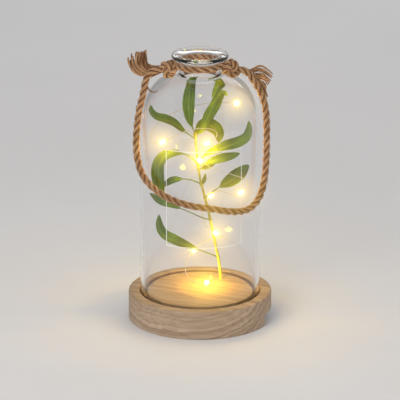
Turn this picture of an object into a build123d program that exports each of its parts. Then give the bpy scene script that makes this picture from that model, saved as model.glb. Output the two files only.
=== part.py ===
"""Bottle light: a clear glass bottle on a round wooden base, with a rope handle, a leafy sprig
and a string of small lights inside. Millimetres, +Z up, the front towards -Y.
The origin is the centre of the base's underside."""

import os
from math import cos, pi, radians, sin, tan

from build123d import *

# Wooden base
base_diameter = 120.0
base_height = 24.0
base_top_round = 1.5
base_foot_chamfer = 0.8
groove_depth = 5.0
groove_width = 6.5
groove_chamfer = 0.4
groove_clearance = 0.8  # from the glass to the groove's outer wall

# Notch in the lower edge of the base, on the +X side
notch_width = 52.0
notch_height = 10.0
notch_depth = 18.0  # from the rim in to the battery case

# Glass bottle
glass_diameter = 100.0
glass_wall = 3.0
glass_foot_round = 1.2
body_height = 149.0
shoulder_height = 44.0
neck_diameter = 34.0
neck_length = 10.2
neck_fillet = 2.5
bore_edge_round = 1.5
lip_diameter = 47.4
lip_thickness = 4.4
lip_flare = 3.4
mouth_flare = 6.5

# Rope
rope_diameter = 6.0
rope_gap = 0.3
neck_rope_drop = 0.5
knot_half_length = 6.6
knot_radius = 7.2
knot_angle = 19.1  # round the bottle from +X or -X towards the front
knot_offset = 7.2  # from the neck rope's centre line outwards
knot_drop = 2.2  # below the neck rope's centre line
knot_bore_gap = 0.3
tail_tip_shares = {"left": 1.1, "right": 0.7}  # tip radius in rope diameters
handle_seat = 1.0  # the handle's end beyond the knot's centre, towards the neck
handle_stub = 11.3  # from the knot's centre out to the first bend

# Battery case, cover and cells
cell_diameter = 10.5
cell_length = 44.5
cell_nub_length = 1.0
cell_nub_diameter = 3.8
cell_gap = 0.3
cell_count = 3
case_wall = 1.65
case_roof = 1.2
case_recess = 0.5  # the case's lower edge above the base's underside
case_fit = 0.3
rail_lip = 1.0
rail_depth = 0.9
cover_thickness = 1.5
cover_gap = 0.2
cover_rib_height = 0.5
cover_rib_count = 3
cover_rib_pitch = 2.0
spring_length = 5.8
spring_wire = 0.7
spring_base_radius = 3.4
spring_tip_radius = 2.15
spring_turns = 3.5
spring_corners = 8  # points of the coil in one turn
spring_air = 0.05
contact_thickness = 0.4
contact_height = 8.0
contact_width = 8.4
switch_bay_length = 11.0
bay_floor = 1.2

# Slide switch
switch_length = 8.6
switch_depth = 4.2
switch_height = 4.0
switch_wall = 0.4
switch_centre_z = 7.5
switch_travel = 2.0
knob_width = 2.0
knob_reach = 2.0  # beyond the case's end
slider_block_length = 3.6
slider_block_depth = 1.6
slider_gap = 0.2
terminal_length = 2.5
terminal_width = 0.8
terminal_pitch = 2.5

# Wiring
lead_diameter = 1.0
lead_bend = 1.5
lead_hole_gap = 0.1
wire_channel = 3.2
sleeve_diameter = 2.8
sleeve_length = 8.0
sleeve_start_x = 18.0
resistor_diameter = 1.8
resistor_length = 4.0
resistor_pin = 0.5
resistor_pin_length = 2.0

# Screws that hold the case to the wood
screw_diameter = 2.5
screw_head_diameter = 4.8
screw_head_height = 2.0
screw_slot_width = 0.7
screw_slot_depth = 0.9
screw_bite = 6.5  # into the wood
screw_spread = 24.0
screw_pilot_gap = 0.05
screw_access_gap = 0.8

# Sprig
stem_diameter = 2.4
stem_bend = 60.0
stem_hole_depth = 7.0
stem_hole_gap = 0.1
leaf_thickness = 0.5
leaf_stalk_width = 1.3
leaf_fullness = 0.62  # below one, the blade keeps its width for longer
leaf_stations = 17
leaf_air = 0.3
halving_steps = 30

# Light string
wire_diameter = 0.8
wire_hole_diameter = 2.6
wire_hole_x = 10.0
wire_slope = 3.0
wire_rise = 5.25
wire_stub = 0.5
bead_diameter = 4.0
bead_length = 5.6
bead_bore_gap = 0.35

# Shapes inside the glass. Each point is a share of the glass radius in x and y,
# and a share of the body's height above the base in z.
stem_shares = [
    (0.356, 0.52, 0.047),
    (0.28, 0.37, 0.1946),
    (0.19, 0.22, 0.3624),
    (0.09, 0.11, 0.5235),
    (-0.01, 0.05, 0.6577),
    (-0.056, 0.012, 0.7987),
    (-0.084, 0, 0.9329),
]
string_shares = [
    (0.192, 0.36, 0.0403),
    (0.172, 0.27, 0.047),
    (0.144, 0.178, 0.0309),
    (0.084, 0.062, 0.0174),
    (-0.08, 0.01, 0.0302),
    (-0.22, 0.1, 0.0604),
    (-0.26, 0.28, 0.0973),
    (-0.18, 0.46, 0.1477),
    (-0.02, 0.54, 0.2081),
    (0.18, 0.53, 0.2383),
    (0.33, 0.42, 0.2584),
    (0.37, 0.29, 0.2752),
    (0.324, 0.21, 0.296),
    (0.204, 0.15, 0.3295),
    (0.076, 0.16, 0.3658),
    (0.03, 0.26, 0.4094),
    (0.06, 0.35, 0.4564),
    (0.13, 0.3, 0.5),
    (0.23, 0.18, 0.5604),
    (0.35, 0.06, 0.5772),
    (0.47, -0.03, 0.5705),
    (0.6, -0.09, 0.5671),
    (0.76, -0.11, 0.602),
    (0.81, -0.18, 0.651),
    (0.7, -0.28, 0.6913),
    (0.48, -0.32, 0.7181),
    (0.24, -0.24, 0.7349),
    (0.074, -0.12, 0.7557),
    (-0.082, -0.08, 0.7879),
    (-0.15, -0.096, 0.8188),
    (-0.11, -0.136, 0.849),
    (0.02, -0.13, 0.8617),
    (0.208, -0.07, 0.8832),
    (0.3, -0.1, 0.9195),
    (0.24, -0.18, 0.9631),
    (0.04, -0.25, 0.9799),
    (-0.22, -0.26, 0.9664),
    (-0.4, -0.22, 0.9295),
    (-0.53, -0.184, 0.902),
    (-0.71, -0.136, 0.8698),
    (-0.82, -0.02, 0.8758),
    (-0.82, 0.16, 0.9128),
    (-0.68, 0.33, 0.9597),
    (-0.44, 0.44, 1.0067),
    (-0.12, 0.47, 1.0436),
    (0.18, 0.37, 1.0705),
    (0.4, 0.2, 1.0872),
    (0.546, 0.06, 1.0953),
    (0.654, -0.06, 1.1034),
]
bead_runs = [6, 11, 16, 21, 25, 31, 35, 42, 51]  # a bead sits at the middle of each of these runs

# Leaves: height on the stem, points after the stalk's foot and width, all as shares,
# the way the blade faces, and the part of its length that is stalk
leaves = [
    (
        0.8859,
        [
            (-0.28, -0.04, 0.943),
            (-0.43, -0.06, 0.9899),
            (-0.58, -0.07, 1.0134),
            (-0.72, -0.07, 1.0302),
            (-0.79, -0.06, 1.057),
            (-0.8, -0.06, 1.0906),
        ],
        0.18,
        (0.2, -0.6, 0.8),
        0.2,
    ),
    (
        0.9228,
        [
            (-0.16, 0.04, 0.9866),
            (-0.186, 0.07, 1.0537),
            (-0.18, 0.11, 1.1275),
            (-0.13, 0.15, 1.1946),
            (-0.04, 0.18, 1.2315),
        ],
        0.2,
        (0, -1, 0.2),
        0.12,
    ),
    (
        0.9027,
        [
            (0.02, -0.02, 0.9362),
            (0.14, -0.01, 1.0268),
            (0.24, 0, 1.0872),
            (0.32, 0.01, 1.1342),
            (0.39, 0.03, 1.1544),
            (0.45, 0.05, 1.1376),
        ],
        0.19,
        (0.3, -0.9, 0.2),
        0.08,
    ),
    (
        0.9128,
        [
            (0.02, 0.12, 0.9732),
            (0.14, 0.2, 1.0537),
            (0.24, 0.22, 1.1275),
            (0.32, 0.22, 1.1711),
            (0.42, 0.2, 1.1812),
        ],
        0.13,
        (0, -1, 0.2),
        0.68,
    ),
    (
        0.9128,
        [
            (0, 0.04, 0.9497),
            (0.08, 0.05, 0.9698),
            (0.2, 0.04, 0.9597),
            (0.3, 0.024, 0.9262),
            (0.316, 0, 0.8658),
        ],
        0.23,
        (0.3, -0.8, 0.5),
        0.22,
    ),
    (
        0.7517,
        [
            (0.08, 0.01, 0.7919),
            (0.24, 0, 0.8221),
            (0.44, 0, 0.8456),
            (0.66, 0.02, 0.8691),
            (0.78, 0.04, 0.896),
            (0.82, 0.06, 0.9396),
            (0.81, 0.08, 0.9866),
        ],
        0.2,
        (-0.2, -0.7, 0.7),
        0.12,
    ),
    (
        0.7047,
        [(0.1, 0.06, 0.7181), (0.25, 0.04, 0.7383)],
        0.1,
        (0, -0.8, 0.6),
        0.14,
    ),
    (
        0.7383,
        [
            (-0.18, -0.02, 0.7886),
            (-0.35, -0.06, 0.8121),
            (-0.48, -0.09, 0.8121),
            (-0.59, -0.12, 0.7987),
            (-0.664, -0.14, 0.7651),
            (-0.69, -0.16, 0.7181),
            (-0.684, -0.18, 0.6611),
            (-0.66, -0.19, 0.5973),
            (-0.61, -0.2, 0.5201),
        ],
        0.24,
        (-0.4, -0.7, 0.6),
        0.22,
    ),
    (
        0.5302,
        [
            (0.18, 0.06, 0.5638),
            (0.3, 0.05, 0.594),
            (0.4, 0.06, 0.6141),
            (0.62, 0.07, 0.6611),
            (0.82, 0.06, 0.7282),
        ],
        0.26,
        (-0.3, -0.7, 0.6),
        0.35,
    ),
    (
        0.3893,
        [
            (0.05, 0.12, 0.4094),
            (-0.2, 0.05, 0.4564),
            (-0.44, 0.01, 0.4933),
            (-0.66, -0.02, 0.5235),
            (-0.84, -0.04, 0.5738),
        ],
        0.16,
        (0, -0.5, 0.85),
        0.5,
    ),
    (
        0.1409,
        [
            (0, 0.24, 0.2047),
            (-0.24, 0.14, 0.2483),
            (-0.44, 0.08, 0.2852),
            (-0.59, 0.04, 0.3188),
            (-0.67, 0.02, 0.3624),
            (-0.69, 0, 0.443),
        ],
        0.19,
        (0.2, -0.7, 0.7),
        0.3,
    ),
    (
        0.6174,
        [(-0.18, 0.02, 0.6477), (-0.36, -0.02, 0.6544), (-0.5, -0.04, 0.6443), (-0.62, -0.06, 0.6141)],
        0.12,
        (0, -0.8, 0.6),
        0.48,
    ),
    (
        0.7248,
        [(0.1, -0.02, 0.7483), (0.28, -0.04, 0.7718), (0.5, -0.06, 0.7919), (0.66, -0.08, 0.8121)],
        0.16,
        (0, -0.75, 0.65),
        0.2,
    ),
    (
        0.6107,
        [(0.064, 0.01, 0.6409), (0.092, -0.01, 0.6846)],
        0.064,
        (0, -0.9, 0.4),
        0.1,
    ),
]

# Handle loop between the knots. Each point is a share of the glass radius in x and, from the knots, in y,
# and a share of the body's height down from the knots in z.
handle_shares = [
    (-0.89, 0, -0.047),
    (-0.93, -0.01, -0.1309),
    (-1.01, -0.03, -0.2383),
    (-1.066, -0.07, -0.3523),
    (-1.09, -0.14, -0.4664),
    (-1.03, -0.27, -0.5604),
    (-0.85, -0.52, -0.6174),
    (-0.55, -0.772, -0.6678),
    (-0.19, -0.904, -0.6993),
    (0.19, -0.904, -0.7161),
    (0.55, -0.772, -0.7517),
    (0.85, -0.524, -0.7651),
    (1.04, -0.26, -0.7148),
    (1.116, -0.14, -0.6007),
    (1.13, -0.08, -0.4799),
    (1.132, -0.05, -0.3658),
    (1.104, -0.024, -0.2517),
    (1, -0.008, -0.1477),
    (0.86, 0, -0.0705),
]

# Rope tails, from inside the knot to the frayed tip. Each point is in rope diameters from the knot's centre:
# outwards, backwards and up.
tail_shares = {
    "left": [(-0.164, 0.9, 0), (1.669, 1.3, -0.417), (3.586, 1.7, -0.25), (4.469, 2, 2.25)],
    "right": [(-0.164, 0.9, 0), (1.669, 1.333, 0.083), (3.502, 1.633, -0.083), (4.836, 1.8, -1.667)],
}

# Levels and radii that follow from the sizes above
base_radius = base_diameter / 2
glass_radius = glass_diameter / 2
bore_radius = neck_diameter / 2 - glass_wall
groove_outer = glass_radius + groove_clearance
groove_inner = groove_outer - groove_width
groove_floor = base_height - groove_depth
shoulder_z = groove_floor + body_height
neck_z = shoulder_z + shoulder_height
flare_z = neck_z + neck_length
glass_top = flare_z + lip_flare + lip_thickness
rope_radius = rope_diameter / 2
neck_rope_radius = neck_diameter / 2 + rope_radius + rope_gap
neck_rope_z = flare_z - neck_rope_drop
knot_reach = neck_rope_radius + knot_offset
knot_x = knot_reach * cos(radians(knot_angle))
knot_y = -knot_reach * sin(radians(knot_angle))
knot_z = neck_rope_z - knot_drop

# Places in the battery case that follow from its sizes
cell_pitch = cell_diameter + cell_gap
case_inner_width = cell_count * cell_pitch + cell_gap
case_width = case_inner_width + 2 * case_wall
bay_length = cell_length + spring_length + 2 * contact_thickness
case_length = bay_length + switch_bay_length + 3 * case_wall
case_front = base_radius - notch_depth
case_back = case_front - case_length
bay_back = case_back + case_wall
bay_front = bay_back + bay_length
switch_bay_back = bay_front + case_wall
switch_bay_front = case_front - case_wall
rail_floor = case_recess + rail_lip
rail_roof = rail_floor + cover_thickness + 2 * cover_gap
cell_z = rail_roof + cell_gap + cell_diameter / 2
case_top = cell_z + cell_diameter / 2 + cell_gap + case_roof
bay_roof = case_top - case_roof
channel_y = case_width / 2 + case_fit + (wire_channel - case_fit) / 2
red_lead_z = switch_centre_z
black_lead_z = red_lead_z + sleeve_diameter / 2 + lead_hole_gap
sleeve_z = (red_lead_z + black_lead_z) / 2
resistor_x = switch_bay_front - switch_depth - terminal_length / 2
resistor_y = terminal_pitch + terminal_width / 2
red_lead_y = resistor_y + resistor_length + 2 * resistor_pin_length
black_lead_x = (switch_bay_back + resistor_x) / 2
screw_x = (switch_bay_back + switch_bay_front) / 2

# Routes, each a list of points
def inside(shares):
    """Points inside the glass, from shares of its radius and of the body's height above the base."""
    return [(x * glass_radius, y * glass_radius, base_height + z * body_height) for x, y, z in shares]


stem_above = inside(stem_shares)
stem_route = [(stem_above[0][0], stem_above[0][1], base_height - stem_hole_depth)] + stem_above
string_route = [
    (sleeve_start_x, channel_y, sleeve_z),
    (wire_hole_x + wire_slope, channel_y, sleeve_z),
    (wire_hole_x, channel_y, sleeve_z + wire_rise),
    (wire_hole_x, channel_y, base_height + wire_stub),
] + inside(string_shares)
handle_loop = [
    (x * glass_radius, knot_y + y * glass_radius, knot_z + z * body_height) for x, y, z in handle_shares
]
handle_route = [
    (handle_seat - knot_x, knot_y, knot_z),
    (-handle_stub - knot_x, knot_y, knot_z),
    *handle_loop,
    (knot_x + handle_stub, knot_y, knot_z),
    (knot_x - handle_seat, knot_y, knot_z),
]


def turned(outline):
    """A solid of revolution about Z, from a closed outline of (radius, height) edges."""
    return revolve(Plane.XZ * make_face(outline), Axis.Z)


def block(x0, x1, y0, y1, z0, z1):
    """A box between two corners."""
    return Pos((x0 + x1) / 2, (y0 + y1) / 2, (z0 + z1) / 2) * Box(x1 - x0, y1 - y0, z1 - z0)


def rod(start, axis, radius, length):
    """A cylinder from a start point along an axis."""
    return extrude(Plane(origin=start, z_dir=axis) * Circle(radius), length)


def bend_radii(points, share=0.45):
    """The largest fillet radius that the two runs at each corner leave room for."""
    radii = []
    for before, corner, after in zip(points, points[1:], points[2:]):
        run_in = Vector(*corner) - Vector(*before)
        run_out = Vector(*after) - Vector(*corner)
        half_turn = radians(run_in.get_angle(run_out)) / 2
        radii.append(share * min(run_in.length, run_out.length) / tan(half_turn))
    return radii


def tube(name, points, diameter, largest=None):
    """A round tube along straight runs joined by tangent arcs."""
    radii = bend_radii(points)
    if largest:
        radii = [min(radius, largest) for radius in radii]
    path = FilletPolyline(*points, radius=radii)
    start = Plane(origin=path @ 0, z_dir=path % 0)
    solid = sweep(start * Circle(diameter / 2), path=path)
    expected = pi * diameter**2 / 4 * path.length
    print(f"{name}: length {path.length:.1f}, volume {solid.volume:.1f} of {expected:.1f}")
    print(f"  bend radii {[round(radius, 1) for radius in radii]}")
    return solid


def wooden_base():
    """Turned disc with a ring groove, an underside pocket with a wire channel, and a side notch."""
    rim_z = base_height - base_top_round
    lip_out = groove_outer + groove_chamfer
    lip_in = groove_inner - groove_chamfer
    lip_z = base_height - groove_chamfer
    outline = Polyline(
        (base_radius - base_top_round, base_height),
        (lip_out, base_height),
        (groove_outer, lip_z),
        (groove_outer, groove_floor),
        (groove_inner, groove_floor),
        (groove_inner, lip_z),
        (lip_in, base_height),
        (0, base_height),
        (0, 0),
        (base_radius - base_foot_chamfer, 0),
        (base_radius, base_foot_chamfer),
        (base_radius, rim_z),
    ) + CenterArc((base_radius - base_top_round, rim_z), base_top_round, 0, 90)
    wood = turned(outline)
    side = case_width / 2 + case_fit
    pocket_end = case_front + case_fit
    pocket = block(case_back - case_fit, pocket_end, -side, side + wire_channel - case_fit, 0, case_top)
    notch = block(case_front, base_radius, -notch_width / 2, notch_width / 2, 0, notch_height)
    wire_hole = rod((wire_hole_x, channel_y, 0), (0, 0, 1), wire_hole_diameter / 2, base_height)
    stem_hole = rod(stem_route[0], (0, 0, 1), stem_diameter / 2 + stem_hole_gap, stem_hole_depth)
    wood -= pocket + notch + wire_hole + stem_hole
    for y in (-screw_spread / 2, screw_spread / 2):
        pilot_radius = screw_diameter / 2 + screw_pilot_gap
        wood -= rod((screw_x, y, case_top), (0, 0, 1), pilot_radius, screw_bite + screw_pilot_gap)
    return wood


def glass_bottle():
    """Bottle with no floor: straight wall, rounded shoulder, short neck and flared lip."""
    inner = glass_radius - glass_wall
    foot = groove_floor + glass_foot_round
    neck_radius = neck_diameter / 2
    shoulder_r = neck_radius + neck_fillet
    rim_r = lip_diameter / 2 - lip_thickness / 2
    rim_low = flare_z + lip_flare
    bore_r = bore_radius + bore_edge_round
    ceiling = neck_z - glass_wall
    mouth_r = bore_radius + mouth_flare
    mouth_z = glass_top - mouth_flare
    outline = (
        Line((inner + glass_foot_round, groove_floor), (glass_radius - glass_foot_round, groove_floor))
        + CenterArc((glass_radius - glass_foot_round, foot), glass_foot_round, 270, 90)
        + Line((glass_radius, foot), (glass_radius, shoulder_z))
        + EllipticalCenterArc(
            (shoulder_r, shoulder_z), glass_radius - shoulder_r, shoulder_height, 0, arc_size=90
        )
        + CenterArc((shoulder_r, neck_z + neck_fillet), neck_fillet, 180, 90)
        + Line((neck_radius, neck_z + neck_fillet), (neck_radius, flare_z))
        + CenterArc((neck_radius + lip_flare, flare_z), lip_flare, 90, 90)
        + Line((neck_radius + lip_flare, rim_low), (rim_r, rim_low))
        + CenterArc((rim_r, rim_low + lip_thickness / 2), lip_thickness / 2, 270, 180)
        + Line((rim_r, glass_top), (mouth_r, glass_top))
        + CenterArc((mouth_r, mouth_z), mouth_flare, 90, 90)
        + Line((bore_radius, mouth_z), (bore_radius, ceiling + bore_edge_round))
        + CenterArc((bore_r, ceiling + bore_edge_round), bore_edge_round, 180, 90)
        + EllipticalCenterArc((bore_r, shoulder_z), inner - bore_r, ceiling - shoulder_z, 0, arc_size=90)
        + Line((inner, shoulder_z), (inner, foot))
        + CenterArc((inner + glass_foot_round, foot), glass_foot_round, 180, 90)
    )
    return turned(outline)


def knot_form(side):
    """The rope knot's outer form, a rounded barrel along the handle's axis, before any cuts."""
    half = Line((-knot_half_length, 0), (knot_half_length, 0)) + EllipticalCenterArc(
        (0, 0), knot_half_length, knot_radius, 0, arc_size=180
    )
    return Pos(side * knot_x, knot_y, knot_z) * revolve(make_face(half), Axis.X)


def neck_rope():
    """Rope ring round the neck, under the lip."""
    return Pos(0, 0, neck_rope_z) * Torus(neck_rope_radius, rope_radius)


def knot(side):
    """A knot that grips the neck rope and holds the handle's end in a bore."""
    handle_end = handle_route[0] if side < 0 else handle_route[-1]
    bore_start = (handle_end[0] - side * rope_gap, handle_end[1], handle_end[2])
    bore_length = knot_half_length * 2
    bore = rod(bore_start, (side, 0, 0), rope_radius + knot_bore_gap, bore_length)
    return knot_form(side) - neck_rope() - bore


def tail(side, name):
    """A frayed rope end: a round bundle that widens from the knot to its tip."""
    points = [
        (side * (knot_x + out * rope_diameter), knot_y + back * rope_diameter, knot_z + up * rope_diameter)
        for out, back, up in tail_shares[name]
    ]
    line = Spline(*points)
    tip = tail_tip_shares[name] * rope_diameter
    steps = [0, 0.3, 0.6, 1.0]
    widths = [rope_radius, rope_radius, (rope_radius + tip) / 2, tip]
    sections = [Plane(origin=line @ u, z_dir=line % u) * Circle(r) for u, r in zip(steps, widths)]
    return loft(sections) - knot_form(side) - neck_rope()


def battery_case():
    """Case with a roof, open below: battery bay, switch bay, and rails for the sliding cover."""
    half = case_width / 2
    room = case_inner_width / 2
    rail = room + rail_depth
    floor_top = rail_roof + bay_floor
    case = block(case_back, case_front, -half, half, case_recess, case_top)
    case -= block(bay_back, bay_front, -room, room, case_recess, bay_roof)
    case -= block(switch_bay_back, switch_bay_front, -room, room, floor_top, bay_roof)
    case -= block(bay_back, case_front, -rail, rail, rail_floor, rail_roof)
    case -= block(bay_front, case_front, -room, room, case_recess, rail_floor)
    slot = knob_width / 2 + switch_travel / 2 + slider_gap
    knob_half = knob_width / 2 + slider_gap
    case -= block(
        switch_bay_front, case_front, -slot, slot, switch_centre_z - knob_half, switch_centre_z + knob_half
    )
    hole_radius = lead_diameter / 2 + lead_hole_gap
    case -= rod((resistor_x, room, red_lead_z), (0, 1, 0), hole_radius, case_wall)
    case -= rod((black_lead_x, room, black_lead_z), (0, 1, 0), hole_radius, case_wall)
    for y in (-screw_spread / 2, screw_spread / 2):
        case -= rod((screw_x, y, bay_roof), (0, 0, 1), screw_diameter / 2 + screw_pilot_gap, case_roof)
        access_radius = screw_head_diameter / 2 + screw_access_gap
        case -= rod((screw_x, y, rail_roof), (0, 0, 1), access_radius, bay_floor)
    return case


def battery_cover():
    """Flat cover that slides out through the notch, with finger ribs near its outer end."""
    half = case_inner_width / 2 + rail_depth - cover_gap
    low = rail_floor + cover_gap
    cover = block(bay_back + cover_gap, case_front - cover_gap, -half, half, low, low + cover_thickness)
    rib_half = case_inner_width / 2 - 2 * rail_depth
    for index in range(cover_rib_count):
        x = case_front - (index + 1) * cover_rib_pitch
        thick = cover_rib_pitch / 4
        cover += block(x - thick, x + thick, -rib_half, rib_half, low - cover_rib_height, low)
    return cover


def cell_sides():
    """Each cell's place across the case, and the way its positive end points."""
    middle = (cell_count - 1) / 2
    return [((index - middle) * cell_pitch, 1 if index % 2 == 0 else -1) for index in range(cell_count)]


def contact_face(side):
    """The inner face of the contact plates at the bay's +X or -X end."""
    return bay_front - contact_thickness if side > 0 else bay_back + contact_thickness


def battery_cell(y, way):
    """A round cell with a nub at its positive end."""
    tip = contact_face(way)
    shoulder = tip - way * cell_nub_length
    body = rod((shoulder, y, cell_z), (-way, 0, 0), cell_diameter / 2, cell_length - cell_nub_length)
    body = fillet(body.edges(), cell_nub_length / 2)
    return body + rod((shoulder, y, cell_z), (way, 0, 0), cell_nub_diameter / 2, cell_nub_length)


def battery_springs():
    """A tapered coil spring at each cell's negative end."""
    length = spring_length - spring_wire - 2 * spring_air
    steps = round(spring_turns * spring_corners)
    coil = []
    for step in range(steps + 1):
        share = step / steps
        angle = 2 * pi * spring_turns * share
        radius = spring_base_radius + (spring_tip_radius - spring_base_radius) * share
        coil.append((radius * cos(angle), radius * sin(angle), length * share))
    spring = tube("battery_springs", coil, spring_wire)
    springs = []
    for y, way in cell_sides():
        foot = (contact_face(-way) + way * (spring_wire / 2 + spring_air), y, cell_z)
        springs.append(Plane(origin=foot, x_dir=(0, way, 0), z_dir=(way, 0, 0)).location * spring)
    return Compound(children=springs)


def contact_plates():
    """Contact plates on the bay's end walls; some join two neighbouring cells."""
    half = contact_width / 2
    low = cell_z - contact_height / 2
    high = cell_z + contact_height / 2
    places = [y for y, way in cell_sides()]
    joined = {
        -1: [(places[0], places[1]), (places[2], places[2])],
        1: [(places[0], places[0]), (places[1], places[2])],
    }
    plates = []
    for side, pairs in joined.items():
        face = contact_face(side)
        wall = face + side * contact_thickness
        for first, last in pairs:
            plates.append(block(min(face, wall), max(face, wall), first - half, last + half, low, high))
    return Compound(children=plates)


def switch_housing():
    """Slide switch's metal can, against the case's end wall, with a slot for the knob."""
    back = switch_bay_front - switch_depth
    half = switch_length / 2
    low = switch_centre_z - switch_height / 2
    high = switch_centre_z + switch_height / 2
    can = block(back, switch_bay_front, -half, half, low, high)
    can -= block(
        back + switch_wall,
        switch_bay_front - switch_wall,
        switch_wall - half,
        half - switch_wall,
        low + switch_wall,
        high - switch_wall,
    )
    slot = knob_width / 2 + switch_travel / 2 + slider_gap
    knob_half = knob_width / 2 + slider_gap
    can -= block(
        switch_bay_front - switch_wall,
        switch_bay_front,
        -slot,
        slot,
        switch_centre_z - knob_half,
        switch_centre_z + knob_half,
    )
    return can


def switch_slider():
    """The switch's moving block and the knob that a finger pushes, at one end of its travel."""
    y = -switch_travel / 2
    front = switch_bay_front - switch_wall - slider_gap
    half = slider_block_length / 2
    block_half = switch_height / 2 - switch_wall - slider_gap
    slider = block(
        front - slider_block_depth,
        front,
        y - half,
        y + half,
        switch_centre_z - block_half,
        switch_centre_z + block_half,
    )
    knob_half = knob_width / 2
    slider += block(
        front,
        case_front + knob_reach,
        y - knob_half,
        y + knob_half,
        switch_centre_z - knob_half,
        switch_centre_z + knob_half,
    )
    return slider


def switch_terminals():
    """Three flat pins at the back of the switch."""
    back = switch_bay_front - switch_depth
    pin = Box(terminal_length, terminal_width, terminal_width)
    places = (-terminal_pitch, 0, terminal_pitch)
    return Compound(children=[Pos(back - terminal_length / 2, y, switch_centre_z) * pin for y in places])


def resistor():
    """Small resistor with a wire pin at each end, between a switch terminal and the red lead."""
    start = (resistor_x, resistor_y, switch_centre_z)
    body_start = (resistor_x, resistor_y + resistor_pin_length, switch_centre_z)
    pins = rod(start, (0, 1, 0), resistor_pin / 2, resistor_length + 2 * resistor_pin_length)
    return pins + rod(body_start, (0, 1, 0), resistor_diameter / 2, resistor_length)


def lead_ends():
    """Where the leads enter the sleeve, along X."""
    return sleeve_start_x + sleeve_length


def red_lead():
    """Lead from the resistor out through the case's side and along the wire channel."""
    points = [
        (resistor_x, red_lead_y, red_lead_z),
        (resistor_x, channel_y, red_lead_z),
        (lead_ends(), channel_y, red_lead_z),
    ]
    return tube("red_lead", points, lead_diameter, lead_bend)


def black_lead():
    """Lead from the battery bay's wall, through the switch bay and along the wire channel."""
    turn_y = screw_spread / 2 - screw_head_diameter
    points = [
        (switch_bay_back, turn_y, black_lead_z),
        (black_lead_x, turn_y, black_lead_z),
        (black_lead_x, channel_y, black_lead_z),
        (lead_ends(), channel_y, black_lead_z),
    ]
    return tube("black_lead", points, lead_diameter, lead_bend)


def splice_sleeve():
    """Shrunk sleeve over the joint of the two leads and the light wire."""
    return rod((sleeve_start_x, channel_y, sleeve_z), (1, 0, 0), sleeve_diameter / 2, sleeve_length)


def case_screws():
    """Two slotted screws through the case's roof into the wood."""
    screws = []
    head_z = bay_roof - screw_head_height
    for y in (-screw_spread / 2, screw_spread / 2):
        screw = rod((screw_x, y, head_z), (0, 0, 1), screw_head_diameter / 2, screw_head_height)
        screw += rod((screw_x, y, bay_roof), (0, 0, 1), screw_diameter / 2, case_roof + screw_bite)
        half = screw_head_diameter / 2
        slot_half = screw_slot_width / 2
        screw -= block(
            screw_x - half, screw_x + half, y - slot_half, y + slot_half, head_z, head_z + screw_slot_depth
        )
        screws.append(screw)
    return Compound(children=screws)


def stem_line():
    """The stem's centre line."""
    radii = [min(radius, stem_bend) for radius in bend_radii(stem_route)]
    return FilletPolyline(*stem_route, radius=radii)


def stem_at(height):
    """The stem's centre at a height, found by halving."""
    line = stem_line()
    low = 0.0
    high = 1.0
    for _ in range(halving_steps):
        middle = (low + high) / 2
        if (line @ middle).Z < height:
            low = middle
        else:
            high = middle
    return line @ low


def leaf(height_share, shares, width_share, facing, stalk_share):
    """A leaf: a thin blade, widest near its middle, on a narrow stalk that starts at the stem."""
    axis = stem_at(base_height + height_share * body_height)
    points = inside(shares)
    outward = Vector(points[0][0] - axis.X, points[0][1] - axis.Y, 0).normalized()
    foot = axis + outward * (stem_diameter / 2 + leaf_stalk_width / 2 + leaf_air)
    line = Spline(foot, *points)
    sections = []
    for station in range(leaf_stations):
        u = station / (leaf_stations - 1)
        along = max(0.0, (u - stalk_share) / (1 - stalk_share))
        blade = width_share * glass_radius * abs(sin(pi * along)) ** leaf_fullness
        across = max(blade, leaf_stalk_width)
        tangent = line % u
        plane = Plane(origin=line @ u, x_dir=tangent.cross(Vector(*facing)), z_dir=tangent)
        sections.append(plane * Rectangle(across, leaf_thickness))
    return loft(sections, ruled=True)


def light_bead(run):
    """A clear resin drop round the wire, at the middle of one of its runs."""
    start = Vector(*string_route[run])
    end = Vector(*string_route[run + 1])
    half = bead_length / 2
    bore = wire_diameter / 2 + bead_bore_gap
    arc = EllipticalCenterArc((0, 0), half, bead_diameter / 2, 0, arc_size=180)
    drop = revolve(make_face(Line((-half, 0), (half, 0)) + arc), Axis.X)
    drop -= rod((-half, 0, 0), (1, 0, 0), bore, bead_length)
    along = end - start
    place = Plane(origin=(start + end) * 0.5, x_dir=along, z_dir=along.cross(Vector(0.3, 1, 0.2)))
    return place.location * drop


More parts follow.
